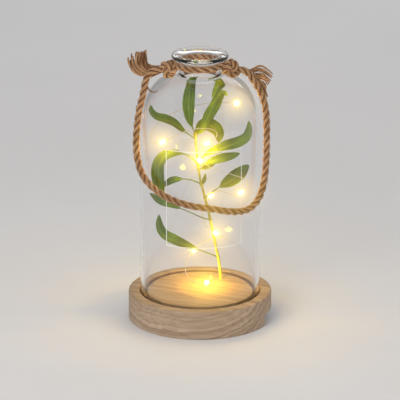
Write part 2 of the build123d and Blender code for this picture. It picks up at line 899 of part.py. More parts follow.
def main():
    """Builds every piece and writes one file for each."""
    pieces = {
        "wooden_base": wooden_base(),
        "glass_bottle": glass_bottle(),
        "neck_rope": neck_rope(),
        "left_knot": knot(-1),
        "right_knot": knot(1),
        "left_tail": tail(-1, "left"),
        "right_tail": tail(1, "right"),
        "handle_rope": tube("handle_rope", handle_route, rope_diameter),
        "battery_case": battery_case(),
        "battery_cover": battery_cover(),
        "battery_springs": battery_springs(),
        "contact_plates": contact_plates(),
        "switch_housing": switch_housing(),
        "switch_slider": switch_slider(),
        "switch_terminals": switch_terminals(),
        "resistor": resistor(),
        "red_lead": red_lead(),
        "black_lead": black_lead(),
        "splice_sleeve": splice_sleeve(),
        "case_screws": case_screws(),
        "plant_stem": sweep(
            Plane(origin=stem_route[0], z_dir=(0, 0, 1)) * Circle(stem_diameter / 2), path=stem_line()
        ),
        "string_wire": tube("string_wire", string_route, wire_diameter),
    }
    for index, (y, way) in enumerate(cell_sides(), 1):
        pieces[f"battery_cell_{index}"] = battery_cell(y, way)
    for index, shape in enumerate(leaves, 1):
        pieces[f"leaf_{index:02d}"] = leaf(*shape)
    for index, run in enumerate(bead_runs, 1):
        pieces[f"light_bead_{index}"] = light_bead(run)
    os.makedirs("parts", exist_ok=True)
    for name, shape in pieces.items():
        export_step(shape, f"parts/{name}.step")
    print(f"{len(pieces)} pieces; glass top at {glass_top:.2f}")
    print(f"knots at x {knot_x:.2f}, y {knot_y:.2f}, z {knot_z:.2f}")


main()
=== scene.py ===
# %% [markdown]
# # A bottle light with a rope handle
#
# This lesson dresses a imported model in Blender: a clear glass bottle that stands in the groove of a round
# wooden base, with a rope handle, and inside it a leafy sprig and a string of small warm lights.
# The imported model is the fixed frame. Pieces whose solid already has the right shape keep it and get a
# finish. Glass, rope, leaves, stem and wire are made again here: their looks need more than a solid.

import math
import random
from collections import namedtuple

import bpy
import numpy as np
from mathutils import Matrix, Vector


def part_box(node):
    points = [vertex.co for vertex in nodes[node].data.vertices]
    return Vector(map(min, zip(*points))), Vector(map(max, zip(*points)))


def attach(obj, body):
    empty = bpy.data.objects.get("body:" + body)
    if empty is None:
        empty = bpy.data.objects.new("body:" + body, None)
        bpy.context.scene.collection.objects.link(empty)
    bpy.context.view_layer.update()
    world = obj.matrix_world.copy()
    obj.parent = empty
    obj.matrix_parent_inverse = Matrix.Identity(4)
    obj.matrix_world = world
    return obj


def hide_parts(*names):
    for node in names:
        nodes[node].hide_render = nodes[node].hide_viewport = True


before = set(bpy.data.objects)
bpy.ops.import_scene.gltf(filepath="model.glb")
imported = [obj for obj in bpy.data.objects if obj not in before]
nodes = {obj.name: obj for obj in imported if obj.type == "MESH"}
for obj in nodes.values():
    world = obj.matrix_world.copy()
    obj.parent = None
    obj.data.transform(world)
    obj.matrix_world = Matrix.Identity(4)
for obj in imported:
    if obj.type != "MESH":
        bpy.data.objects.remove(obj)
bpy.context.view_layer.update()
bpy.ops.object.select_all(action="DESELECT")

# %% Units and levels that the pieces share
MM = 0.001
base_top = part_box("wooden_base")[1].z
glass_low, glass_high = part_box("glass_bottle")
glass_radius = glass_high.x
print(f"base top at {base_top / MM:.1f} mm")
print(f"glass from {glass_low.z / MM:.1f} to {glass_high.z / MM:.1f} mm, radius {glass_radius / MM:.1f} mm")

# %% [markdown]
# ## Camera
#
# The picture looks a little down on the bottle, from straight in front. A near camera with a short lens
# could show it as large, but upright edges would lean, so the camera stands far away with a long lens.
# Light goes through glass many times, so the limits on its bounces are raised.

# %% Camera
camera_aim = Vector((0.0, 0.0, 0.1025))
camera_distance = 3.4
camera_tilt = math.radians(18.4)
camera_back = Vector((0.0, -math.cos(camera_tilt), math.sin(camera_tilt)))
bpy.ops.object.camera_add(
    location=camera_aim + camera_back * camera_distance, rotation=(math.pi / 2 - camera_tilt, 0.0, 0.0)
)
camera = bpy.context.object
camera.name = "front_camera"
camera.data.sensor_width = 36.0
camera.data.lens = 366.5
camera.data.clip_end = 50.0
scene = bpy.context.scene
scene.camera = camera
scene.view_settings.view_transform = "Standard"
print(f"camera {camera_distance} m away, lens {camera.data.lens} mm")

# %% Light paths
scene.cycles.max_bounces = 32  # light goes round many times inside a thick glass lip
scene.cycles.transmission_bounces = 32
scene.cycles.glossy_bounces = 16
print(f"light may bounce {scene.cycles.max_bounces} times")

# %% [markdown]
# ## Helpers for finishes
#
# A finish in Blender is a tree of nodes. Each tree could be wired node by node, but most of them share a
# few steps: a pattern on the piece's own coordinates, a ramp that turns it into colours, and a bump.
# Short helpers for these steps keep every finish readable in a few lines.

# %% Helpers for nodes
def new_material(name):
    """A material with nodes, its node tree and its main shader."""
    material = bpy.data.materials.new(name)
    material.use_nodes = True
    return material, material.node_tree, material.node_tree.nodes["Principled BSDF"]


def add_node(tree, kind, **settings):
    """A new node with some of its settings filled in."""
    node = tree.nodes.new(kind)
    for key, value in settings.items():
        setattr(node, key, value)
    return node


def feed(tree, sockets, values):
    """Fills sockets by name or number, each from another socket or with a plain constant."""
    for key, value in values.items():
        if isinstance(value, bpy.types.NodeSocket):
            tree.links.new(value, sockets[key])
        else:
            sockets[key].default_value = value


print("node helpers ready")

# %% Helpers for sums and mixes
def calculate(tree, operation, *values):
    """The result of a Math node on sockets or numbers."""
    node = add_node(tree, "ShaderNodeMath", operation=operation)
    feed(tree, node.inputs, dict(enumerate(values)))
    return node.outputs["Value"]


def scaled_length(tree, vector, scale):
    """The length of a vector after each of its parts is scaled."""
    scaled = add_node(tree, "ShaderNodeVectorMath", operation="MULTIPLY")
    feed(tree, scaled.inputs, {0: vector, 1: scale})
    length = add_node(tree, "ShaderNodeVectorMath", operation="LENGTH")
    feed(tree, length.inputs, {0: scaled.outputs["Vector"]})
    return length.outputs["Value"]


def axes(tree, vector):
    """The three parts of a vector, by axis letter."""
    node = add_node(tree, "ShaderNodeSeparateXYZ")
    feed(tree, node.inputs, {"Vector": vector})
    return node.outputs


def share_between(tree, value, low, high):
    """How far a value lies between two limits, from 0 to 1."""
    node = add_node(tree, "ShaderNodeMapRange")
    feed(tree, node.inputs, {"Value": value, "From Min": low, "From Max": high})
    return node.outputs["Result"]


def mix(tree, blend, share, first, second):
    """Two colours mixed by one of the blend modes."""
    node = add_node(tree, "ShaderNodeMix", data_type="RGBA", blend_type=blend)
    feed(tree, node.inputs, {"Factor": share, "A": first, "B": second})
    return node.outputs["Result"]


print("helpers for sums and mixes ready")

# %% Helpers for patterns
black = (0.0, 0.0, 0.0)
white = (1.0, 1.0, 1.0)


def object_coordinates(tree):
    """The piece's own coordinates, in metres."""
    return add_node(tree, "ShaderNodeTexCoord").outputs["Object"]


def mapped(tree, source, scale=(1.0, 1.0, 1.0), turn=(0.0, 0.0, 0.0), shift=(0.0, 0.0, 0.0)):
    """Coordinates from a socket, scaled, turned and shifted by a Mapping node."""
    node = add_node(tree, "ShaderNodeMapping")
    feed(tree, node.inputs, {"Vector": source, "Location": shift, "Rotation": turn, "Scale": scale})
    return node.outputs["Vector"]


def noise(tree, vector, scale, detail=3.0, roughness=0.55):
    """A noise pattern on a vector socket."""
    node = add_node(tree, "ShaderNodeTexNoise")
    feed(tree, node.inputs, {"Vector": vector, "Scale": scale, "Detail": detail, "Roughness": roughness})
    return node.outputs["Fac"]


def colour_ramp(tree, factor, stops, stepped=False):
    """The colour that a ramp of (place, colour) stops gives at a factor."""
    node = add_node(tree, "ShaderNodeValToRGB")
    elements = node.color_ramp.elements
    while len(elements) < len(stops):
        elements.new(0.5)
    for element, (place, colour) in zip(elements, stops):
        element.position = place
        element.color = (*colour, 1.0)
    if stepped:
        node.color_ramp.interpolation = "CONSTANT"
    feed(tree, node.inputs, {"Fac": factor})
    return node.outputs["Color"]


def add_bump(tree, shader, height, strength, distance):
    """Bump from a height socket on the main shader."""
    node = add_node(tree, "ShaderNodeBump")
    feed(tree, node.inputs, {"Height": height, "Strength": strength, "Distance": distance})
    feed(tree, shader.inputs, {"Normal": node.outputs["Normal"]})


print("helpers for patterns ready")

# %% [markdown]
# ## Floor, lights and world
#
# The object stands on one large pale sheet that fills the frame. Small hard lights could light it, but
# glass shows only what it mirrors and bends, so three big soft lights and a pale world stand for a
# studio.

# %% Floor
floor_width = 16.0
floor_middle = (0.0, 3.0, 0.0)  # more of it lies behind the object than in front
bpy.ops.mesh.primitive_plane_add(size=floor_width, location=floor_middle)
floor = bpy.context.object
floor.name = "studio_floor"
floor_paint, tree, shader = new_material("floor_paint")
spots = noise(tree, object_coordinates(tree), 3.0)
pale = colour_ramp(tree, spots, [(0.3, (0.88, 0.875, 0.88)), (0.7, (0.91, 0.905, 0.91))])
feed(tree, shader.inputs, {"Base Color": pale, "Roughness": 0.7})
floor.data.materials.append(floor_paint)
print(f"floor {floor_width} m wide")

# %% Lights
light_aim = Vector((0.0, 0.0, 0.11))


def soft_light(name, place, size, power, colour=white):
    """A square soft light at a place, aimed at the bottle."""
    facing = (light_aim - Vector(place)).to_track_quat("-Z", "Y")
    bpy.ops.object.light_add(type="AREA", location=place, rotation=facing.to_euler())
    light = bpy.context.object
    light.name = name
    light.data.size = size
    light.data.energy = power
    light.data.color = colour
    light.visible_glossy = False  # no square mirror images of the lights on the round glass
    return light


key_light = soft_light("key_light", (-0.8, -1.4, 0.62), 0.9, 15.0, (1.0, 0.98, 0.96))
fill_light = soft_light("fill_light", (1.3, -0.7, 0.55), 1.0, 5.0, (1.0, 0.98, 0.97))
soft_light("back_light", (0.3, 1.6, 1.3), 1.4, 5.0)
for light in (key_light, fill_light):
    light.visible_transmission = False  # nor on the inside of the back wall
print("three soft lights")

# %% World
world = bpy.data.worlds.new("pale_studio")
scene.world = world
world.use_nodes = True
sky = world.node_tree
sky_direction = add_node(sky, "ShaderNodeTexCoord").outputs["Generated"]
dome = colour_ramp(
    sky,
    axes(sky, sky_direction)["Z"],
    [(0.0, (0.70, 0.70, 0.69)), (0.25, (0.78, 0.775, 0.77)), (0.7, (0.95, 0.94, 0.94))],
)
feed(sky, sky.nodes["Background"].inputs, {"Color": dome, "Strength": 0.44})
print("a pale world, lightest overhead")

# %% [markdown]
# ## Rope
#
# The handle is jute rope: three strands, each of several yarns, laid round each other the other way.
# A plain tube with a picture of rope on it looks flat at its edges, so the strands are real shapes here.
# Each rope follows a smooth line: the listed route gives the control points of a NURBS curve, and the
# strands wind round the points read back from that curve.

# %% A smooth line from a route
def curve_points(curve):
    """The points along a curve, which is then removed."""
    holder = bpy.data.objects.new("route", curve)
    mesh = bpy.data.meshes.new_from_object(holder)
    line = np.array([vertex.co for vertex in mesh.vertices], float)
    bpy.data.objects.remove(holder)
    bpy.data.curves.remove(curve)
    bpy.data.meshes.remove(mesh)
    return line


def smooth_line(route, steps=12):
    """Points along the NURBS curve whose control points are a route in millimetres."""
    curve = bpy.data.curves.new("route", "CURVE")
    curve.dimensions = "3D"
    spline = curve.splines.new("NURBS")
    spline.points.add(len(route) - 1)
    for point, place in zip(spline.points, route):
        point.co = (*(Vector(place) * MM), 1.0)
    spline.order_u = 3
    spline.use_endpoint_u = True
    spline.resolution_u = steps
    return curve_points(curve)


def travelled(line):
    """The distance from the start to each point of a line."""
    return np.concatenate([[0.0], np.cumsum(np.linalg.norm(np.diff(line, axis=0), axis=1))])


print("smooth lines ready")

# %% Route of the handle
handle_route = [
    (-25.0, -9.0, 219.5), (-37.3, -9.0, 219.5), (-44.5, -9.0, 212.5), (-46.5, -9.5, 200.0),
    (-50.5, -10.5, 184.0), (-52.6, -12.5, 167.0), (-53.0, -16.0, 150.0), (-49.8, -22.5, 136.0),
    (-42.5, -35.0, 127.5), (-27.5, -47.6, 120.0), (-9.5, -54.2, 115.3), (9.5, -54.2, 112.8),
    (27.5, -47.6, 107.5), (41.0, -36.0, 105.5), (50.4, -23.0, 113.0), (54.2, -17.0, 130.0),
    (55.2, -13.5, 148.0), (55.2, -12.0, 165.0), (55.0, -10.5, 182.0), (51.5, -9.5, 197.5),
    (44.5, -9.0, 209.0), (37.3, -9.0, 219.5), (25.0, -9.0, 219.5),
]
handle_line = smooth_line(handle_route)
print(f"handle {travelled(handle_line)[-1] / MM:.1f} mm long")

# %% Frames along a line
def unit(rows):
    """Each row scaled to a length of one."""
    return rows / np.linalg.norm(rows, axis=1)[:, None]


def frames_along(line, closed=False):
    """Two directions across a line at each point, carried along it without twist."""
    ahead = np.roll(line, -1, axis=0) - np.roll(line, 1, axis=0)
    if not closed:
        ahead[0] = line[1] - line[0]
        ahead[-1] = line[-1] - line[-2]
    ahead = unit(ahead)
    steep = abs(ahead[0][2]) >= 0.8  # a line that starts nearly upright
    side = np.array((1.0, 0.0, 0.0) if steep else (0.0, 0.0, 1.0))
    across = np.zeros_like(line)
    for index, direction in enumerate(ahead):
        side = side - direction * side.dot(direction)
        side = side / np.linalg.norm(side)
        across[index] = side
    return across, np.cross(ahead, across)


print(f"{len(frames_along(handle_line)[0])} frames along the handle")

# %% Rings round a line
def tube_rings(line, across, up, radius, sides, lobes=0, lobe_height=0.0, lobe_turn=None):
    """Rings round a line; lobes are the yarns that show on a strand's surface."""
    turn = np.arange(sides) * 2 * math.pi / sides
    wave = np.zeros((len(line), sides))
    if lobes:
        wave = lobe_height * np.abs(np.cos(lobes * (turn[None, :] - lobe_turn[:, None]) / 2))
    plain = np.broadcast_to(np.asarray(radius, float), (len(line),))[:, None]
    size = plain * (1.0 + wave - lobe_height / 2)
    round_x = (size * np.cos(turn))[:, :, None] * across[:, None, :]
    round_y = (size * np.sin(turn))[:, :, None] * up[:, None, :]
    return line[:, None, :] + round_x + round_y


print("rings ready")

# %% Tubes from rings
def tube_faces(rings, along, closed):
    """A tube's faces as corner numbers, and each corner's place: distance along and share round."""
    count, sides, _ = rings.shape
    faces, places = [], []
    for i in range(count if closed else count - 1):
        this_ring = i * sides
        next_ring = (i + 1) % count * sides
        for j in range(sides):
            k = (j + 1) % sides
            faces.append((this_ring + j, this_ring + k, next_ring + k, next_ring + j))
            start, end = j / sides, (j + 1) / sides
            places += [(along[i], start), (along[i], end), (along[i + 1], end), (along[i + 1], start)]
    if not closed:
        last_ring = (count - 1) * sides
        faces.append(tuple(reversed(range(sides))))
        faces.append(tuple(range(last_ring, last_ring + sides)))
        places += [(along[0], j / sides) for j in range(2 * sides)]
    return faces, places


def skin(name, tubes):
    """A mesh object from tubes: rings, distance along, whether the tube closes, and depth in the rope."""
    points, faces, places, depths = [], [], [], []
    for rings, along, closed, depth in tubes:
        first = len(points)
        tube, tube_places = tube_faces(rings, along, closed)
        faces += [tuple(first + corner for corner in face) for face in tube]
        places += tube_places
        points += map(tuple, rings.reshape(-1, 3))
        depths.append(np.broadcast_to(depth, rings.shape[:2]).ravel())
    mesh = bpy.data.meshes.new(name)
    mesh.from_pydata(points, [], faces)
    layer = mesh.uv_layers.new(name="strand")
    layer.data.foreach_set("uv", np.array(places, np.float32).ravel())
    hollow = mesh.attributes.new("hollow", "FLOAT", "POINT")
    hollow.data.foreach_set("value", np.concatenate(depths).astype(np.float32))
    mesh.shade_smooth()
    piece = bpy.data.objects.new(name, mesh)
    scene.collection.objects.link(piece)
    return piece


print("tubes ready")

# %% Laid rope
rope_strands = 3
strand_share = 0.464  # a strand's radius as a share of the rope's radius
strand_press = 1.06  # strands press on each other, so each is drawn a little thicker
strand_sides = 20
rope_lay = 21.0 * MM  # length in which a strand goes once round the rope
yarn_count = 5
yarn_height = 0.2  # how far yarns stand out, as a share of the strand's radius
yarn_twist = -1.6  # the yarns' turns for each turn of their strand, the other way round
shade_depth = 0.5  # share of the rope's radius below its surface at which the painted shade is darkest


def laid_rope(line, radius, closed=False):
    """The tubes of three strands laid round a line."""
    across, up = frames_along(line, closed)
    along = travelled(np.vstack([line, line[:1]]) if closed else line)
    turns = along[-1] / rope_lay
    if closed:
        turns = round(turns)
    distance = along[: len(line)]
    size = radius * strand_share * strand_press
    tubes = []
    for strand in range(rope_strands):
        turn = 2 * math.pi * (strand / rope_strands + turns * distance / along[-1])
        out = across * np.cos(turn)[:, None] + up * np.sin(turn)[:, None]
        middle = line + out * radius * (1.0 - strand_share)
        yarn_turn = yarn_twist * turn
        rings = tube_rings(middle, across, up, size, strand_sides, yarn_count, yarn_height, yarn_turn)
        reach = np.linalg.norm(rings - line[:, None, :], axis=2) / radius
        # the last value is each point's depth in the rope, which the jute finish turns into painted shade
        tubes.append((rings, along / MM, closed, np.clip((1.0 - reach) / shade_depth, 0.0, 1.0)))
    return tubes


print(f"rope of {rope_strands} strands, each of {yarn_count} yarns")

# %% [markdown]
# ## Stray fibres
#
# Jute is never smooth: short ends of fibre stand off it all along. A particle system could grow them,
# but they belong to the rope's own mesh, so each is a thin tube that leaves the rope and lifts. A seeded
# draw gives each one its place, so every run makes the same rope.

# %% Stray fibres
fibre_root = 0.11 * MM
fibre_tip = 0.05 * MM
long_fibres = 1.3 * MM  # how far fibres stand off a slack rope
short_fibres = 0.8 * MM  # and off a rope that is pulled tight
fibre_sides = 3
fibre_start = 0.9  # share of the rope's radius at which a fibre leaves it
fibre_bend = 1.7  # above 1, a fibre lies close at first and then lifts


def stray_fibres(line, radius, count, seed, reach):
    """Thin loose fibres that stand off a rope, each with its own start, run and lift."""
    draw = random.Random(seed)
    across, up = frames_along(line)
    tubes = []
    for _ in range(count):
        place = draw.randrange(3, len(line) - 8)
        run = draw.randint(3, 7)
        angle = draw.uniform(0, 2 * math.pi)
        swing = draw.uniform(-0.9, 0.9)
        lift = draw.uniform(0.3, 1.0) * reach
        steps = range(place, place + run)
        if draw.random() < 0.5:
            steps = reversed(steps)
        path = []
        for number, index in enumerate(steps):
            share = number / (run - 1)
            turn = angle + swing * share
            out = across[index] * math.cos(turn) + up[index] * math.sin(turn)
            path.append(line[index] + out * (radius * fibre_start + lift * share**fibre_bend))
        path = np.array(path)
        thickness = np.linspace(fibre_root, fibre_tip, run)
        rings = tube_rings(path, *frames_along(path), thickness, fibre_sides)
        tubes.append((rings, travelled(path) / MM, False, 0.0))
    return tubes


print(f"stray fibres of {fibre_root / MM} mm, thinner at the tip")

# %% Handle
rope_diameter = 6.0 * MM
rope_radius = 0.47 * rope_diameter  # to the strands' flanks; their yarns stand out a little more
handle_tubes = laid_rope(handle_line, rope_radius)
handle_tubes += stray_fibres(handle_line, rope_radius, count=320, seed=11, reach=long_fibres)
handle = skin("handle_rope_strands", handle_tubes)
print(f"handle: {len(handle.data.polygons)} faces")

# %% [markdown]
# ## Jute finish
#
# Jute is a brown plant fibre, matt with a soft sheen. One even brown would look like plastic, so fine
# streaks follow each strand by its own UV map, and paler and darker stretches lie over them. The hollows
# between strands get painted shade: each point's depth in the rope was stored with the mesh.

# %% Jute finish
def jute_finish():
    """Brown plant fibre: fine streaks along each strand, paler and darker stretches, painted shade in the
    hollows between strands, and a soft sheen.
    """
    material, tree, shader = new_material("jute_fibre")
    strand = add_node(tree, "ShaderNodeUVMap", uv_map="strand").outputs["UV"]
    along_fibre = mapped(tree, strand, (0.16, 26.0, 1.0), (0.0, 0.0, 0.12))
    streak = noise(tree, along_fibre, 1.6, 4.0, 0.65)
    fibre = colour_ramp(
        tree,
        streak,
        [(0.34, (0.20, 0.092, 0.035)), (0.5, (0.46, 0.252, 0.116)), (0.66, (0.86, 0.62, 0.40))],
    )
    patch = noise(tree, object_coordinates(tree), 90.0, 2.0)
    shade = colour_ramp(tree, patch, [(0.35, (0.72, 0.66, 0.60)), (0.65, white)])
    hollow = add_node(tree, "ShaderNodeAttribute", attribute_name="hollow").outputs["Fac"]
    # painted shade: points deep between the strands are darkened as if in shadow
    painted_hollow_shade = colour_ramp(tree, hollow, [(0.1, white), (0.75, (0.36, 0.22, 0.135))])
    shaded = mix(tree, "MULTIPLY", 1.0, fibre, shade)
    feed(tree, shader.inputs, {"Base Color": mix(tree, "MULTIPLY", 1.0, shaded, painted_hollow_shade), "Roughness": 0.85})
    feed(tree, shader.inputs, {"Specular IOR Level": 0.25, "Sheen Weight": 0.25, "Sheen Roughness": 0.5})
    add_bump(tree, shader, streak, 0.7, 0.4 * MM)
    return material


jute = jute_finish()
print(f"finish {jute.name}")

# %% [markdown]
# ## Settling a piece
#
# A finished piece needs its material, the body that it moves with and the solid that it stands for. That
# could be written out for each piece, but one helper does it for all, so that no piece is forgotten.

# %% Settle the handle
def settle(piece, material, body, slot, *replaced):
    """Gives a finished piece its material, its body and the solids that it stands for; the slot is not
    used.
    """
    piece.data.materials.clear()
    piece.data.materials.append(material)
    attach(piece, body)
    if replaced:
        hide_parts(*replaced)
    return piece


settle(handle, jute, "handle", "jute_rope", "handle_rope")
print("handle rope settled")

# %% [markdown]
# ## Light string
#
# The lights hang on a thin wire of two tinned copper strands, twisted together. It comes up through a
# hole in the base and winds through the sprig. A drop of clear resin holds each small lamp.
# The wire is another cord, so it is made the same way as the rope, with two strands instead of three.

# %% Route of the light wire
string_route = [
    (18.0, 19.75, 8.25), (13.0, 19.75, 8.25), (10.0, 19.75, 13.5), (10.0, 19.75, 24.5),
    (9.6, 18.0, 30.0), (8.6, 13.5, 31.0), (7.2, 8.9, 28.6), (4.2, 3.1, 26.6), (-4.0, 0.5, 28.5),
    (-11.0, 5.0, 33.0), (-13.0, 14.0, 38.5), (-9.0, 23.0, 46.0), (-1.0, 27.0, 55.0), (9.0, 26.5, 59.5),
    (16.5, 21.0, 62.5), (18.5, 14.5, 65.0), (16.2, 10.5, 68.1), (10.2, 7.5, 73.1), (3.8, 8.0, 78.5),
    (1.5, 13.0, 85.0), (3.0, 17.5, 92.0), (6.5, 15.0, 98.5), (11.5, 9.0, 107.5), (17.5, 3.0, 110.0),
    (23.5, -1.5, 109.0), (30.0, -4.5, 108.5), (38.0, -5.5, 113.7), (40.5, -9.0, 121.0),
    (35.0, -14.0, 127.0), (24.0, -16.0, 131.0), (12.0, -12.0, 133.5), (3.7, -6.0, 136.6),
    (-4.1, -4.0, 141.4), (-7.5, -4.8, 146.0), (-5.5, -6.8, 150.5), (1.0, -6.5, 152.4),
    (10.4, -3.5, 155.6), (15.0, -5.0, 161.0), (12.0, -9.0, 167.5), (2.0, -12.5, 170.0),
    (-11.0, -13.0, 168.0), (-20.0, -11.0, 162.5), (-26.5, -9.2, 158.4), (-35.5, -6.8, 153.6),
    (-41.0, -1.0, 154.5), (-41.0, 8.0, 160.0), (-34.0, 16.5, 167.0), (-22.0, 22.0, 174.0),
    (-6.0, 23.5, 179.5), (9.0, 18.5, 183.5), (20.0, 10.0, 186.0), (27.3, 3.0, 187.2),
    (32.7, -3.0, 188.4),
]
string_line = smooth_line(string_route, steps=14)
print(f"light wire {travelled(string_line)[-1] / MM:.1f} mm long")

# %% Twisted wire
wire_strands = 2
wire_strand_radius = 0.2 * MM
wire_strand_sides = 6
wire_lay = 5.0 * MM  # length in which a strand goes once round the other


def twisted_pair(line):
    """The tubes of two thin strands twisted round a line."""
    across, up = frames_along(line)
    along = travelled(line)
    tubes = []
    for strand in range(wire_strands):
        turn = 2 * math.pi * (strand / wire_strands) + 2 * math.pi * along / wire_lay
        out = across * np.cos(turn)[:, None] + up * np.sin(turn)[:, None]
        middle = line + out * wire_strand_radius
        rings = tube_rings(middle, across, up, wire_strand_radius, wire_strand_sides)
        tubes.append((rings, along / MM, False, 0.0))
    return tubes


string_wire = skin("light_wire", twisted_pair(string_line))
print(f"light wire: {len(string_wire.data.polygons)} faces")

# %% [markdown]
# ## Wire finish
#
# Tinned copper is a warm pale grey, a little worn. A full mirror would take on the dark colours round
# it, so the finish is only partly metal, with two near tones in patches.

# %% Settle the light wire
tinned_copper, tree, shader = new_material("tinned_copper")
wear = noise(tree, object_coordinates(tree), 220.0)
tin = colour_ramp(tree, wear, [(0.3, (0.70, 0.66, 0.61)), (0.7, (0.84, 0.80, 0.75))])
feed(tree, shader.inputs, {"Base Color": tin, "Metallic": 0.7, "Roughness": 0.32})
settle(string_wire, tinned_copper, "base", "copper_wire", "string_wire")
bead_count = 9
bead_names = [f"light_bead_{number}" for number in range(1, bead_count + 1)]
print(f"light wire settled, with {bead_count} beads")

# %% [markdown]
# ## Lamps
#
# Each lamp is a tiny chip that glows in a drop of resin. Glowing materials alone could light the wood,
# but such small bright spots make a grainy picture, so a point light in each bead gives most of the
# light. The chip and the resin glow as well, for the lamp's own look.

# %% Resin of the beads
resin, tree, shader = new_material("bead_resin")
cloud = noise(tree, object_coordinates(tree), 700.0)
tint = colour_ramp(tree, cloud, [(0.3, (1.0, 0.76, 0.34)), (0.7, (1.0, 0.84, 0.46))])
glow = colour_ramp(tree, cloud, [(0.3, (1.0, 0.76, 0.07)), (0.7, (1.0, 0.84, 0.10))])
feed(tree, shader.inputs, {"Base Color": tint, "Emission Color": glow, "Emission Strength": 8.0})
feed(tree, shader.inputs, {"Roughness": 0.08, "IOR": 1.5, "Transmission Weight": 0.85})


def dress(material, *names):
    """Gives solids that keep their shape a finish."""
    for name in names:
        nodes[name].data.materials.clear()
        nodes[name].data.materials.append(material)


dress(resin, *bead_names)
print(f"{bead_count} beads of {resin.name}")

# %% Light of the beads
lamp_colour = (1.0, 0.61, 0.05)
lamp_radius = 1.2 * MM
lamp_power = 0.03
base_lamp_power = 0.22  # the lowest lamp lies on the wood and lights it
wall_lamp_power = 0.045  # lamps near the wall light the rope outside it
near_wall = 25.0 * MM  # distance from the upright axis


def middle_of(name):
    """The middle of a solid's box."""
    low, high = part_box(name)
    return (low + high) / 2


for name in bead_names:
    nodes[name].visible_shadow = False
    nodes[name].visible_glossy = False
    place = middle_of(name)
    bpy.ops.object.light_add(type="POINT", location=place)
    lamp = bpy.context.object
    lamp.name = f"lamp_{name[-1]}"
    lamp.data.energy = wall_lamp_power if place.xy.length > near_wall else lamp_power
    if name == bead_names[0]:
        lamp.data.energy = base_lamp_power
    lamp.data.color = lamp_colour
    lamp.data.shadow_soft_size = lamp_radius
    lamp.visible_glossy = False
    lamp.visible_transmission = False
print(f"{bead_count} warm lamps")

# %% [markdown]
# ## Lamp chips
#
# The chip is a small flat block in the middle of each bead. The resin could glow by itself, but a lamp
# has a bright core. One cube with softened edges is enough for each, and all of them are joined into one
# piece, because they share a finish and never move apart.

# %% Lamp chips
chip_size = 1.5 * MM
chip_shape = Matrix.Diagonal((1.3, 0.8, 0.5, 1.0))  # long, narrow and flat
chips = []
for name in bead_names:
    bpy.ops.mesh.primitive_cube_add(size=chip_size)
    chip = bpy.context.object
    chip.data.transform(Matrix.Translation(middle_of(name)) @ chip_shape)
    chips.append(chip)
bpy.ops.object.select_all(action="DESELECT")
for chip in chips:
    chip.select_set(True)
bpy.context.view_layer.objects.active = chips[0]
bpy.ops.object.join()
lamp_chips = bpy.context.object
lamp_chips.name = "lamp_chips"
edge = lamp_chips.modifiers.new("soft_edges", "BEVEL")
edge.width = 0.15 * MM
edge.segments = 2
bpy.ops.object.modifier_apply(modifier="soft_edges")
print(f"{len(chips)} lamp chips, {len(lamp_chips.data.polygons)} faces")

# %% Glow of the chips
chip_glow, tree, shader = new_material("chip_glow")
speck = noise(tree, object_coordinates(tree), 900.0)
flame = colour_ramp(tree, speck, [(0.3, (1.0, 0.80, 0.14)), (0.7, (1.0, 0.88, 0.20))])
feed(tree, shader.inputs, {"Base Color": flame, "Emission Color": flame, "Emission Strength": 60.0})
settle(lamp_chips, chip_glow, "base", "bead_resin")
lamp_chips.visible_shadow = False
lamp_chips.visible_diffuse = False
lamp_chips.visible_glossy = False
print("lamp chips settled")

# %% [markdown]
# ## Neck rope
#
# A second piece of the same rope goes round the neck under the lip. A plain ring could stand for it, but
# the handle's strands are at hand: they are laid round a closed line here, with a whole number of turns,
# so that their ends meet.

# %% Neck rope
ring_steps = 120
ring_turn = np.arange(ring_steps) * 2 * math.pi / ring_steps
neck_rope_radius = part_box("neck_rope")[1].x - rope_diameter / 2
neck_rope_height = middle_of("neck_rope").z
ring_line = np.stack(
    [
        neck_rope_radius * np.cos(ring_turn),
        neck_rope_radius * np.sin(ring_turn),
        np.full(ring_steps, neck_rope_height),
    ],
    axis=1,
)
neck_tubes = laid_rope(ring_line, rope_radius, closed=True)
neck_tubes += stray_fibres(ring_line, rope_radius, count=60, seed=5, reach=short_fibres)
neck_rope = skin("neck_rope_strands", neck_tubes)
settle(neck_rope, jute, "bottle", "jute_rope", "neck_rope")
print(f"neck rope at {neck_rope_height / MM:.1f} mm")

# %% [markdown]
# ## Knots
#
# Each end of the handle is knotted to the neck rope. A lump would do from afar, but a knot is known by
# its crossing strands. So it is drawn as a path for the rope: one closed line that goes twice round
# while it weaves in and out. A formula gives that line, and the same strands are laid round it.

# %% Knots
knot_rope_radius = 2.7 * MM
knot_reach = 3.5 * MM  # mean distance of the rope from the knot's middle
knot_swell = 2.3 * MM  # by which it goes nearer and farther
knot_depth = 3.0 * MM  # by which it goes to the front and back
knot_rounds = 2
knot_weaves = 3
knot_rolls = {"left_knot": math.radians(35), "right_knot": math.radians(80)}


def knot_line(middle, roll):
    """The rope's path through an overhand knot: twice round while it weaves in and out three times."""
    reach = knot_reach + knot_swell * np.cos(knot_weaves * ring_turn)
    x = middle.x + reach * np.cos(knot_rounds * ring_turn + roll)
    z = middle.z + reach * np.sin(knot_rounds * ring_turn + roll)
    y = middle.y + knot_depth * np.sin(knot_weaves * ring_turn)
    return np.stack([x, y, z], axis=1)


for name, roll in knot_rolls.items():
    path = knot_line(middle_of(name), roll)
    turns = laid_rope(path, knot_rope_radius, closed=True)
    turns += stray_fibres(path, knot_rope_radius, count=40, seed=7, reach=short_fibres)
    settle(skin(f"{name}_turns", turns), jute, "bottle", "jute_rope", name)
    print(f"{name} at {[round(c / MM, 1) for c in middle_of(name)]}")

# %% [markdown]
# ## Frayed tails
#
# Beyond each knot the rope's end is left loose, so its strands have opened into yarns. Hair could be
# combed into such a brush, but these yarns are thick enough to be seen one by one. So each is a tube
# with three plies on its own route, and a seeded draw makes the routes differ.

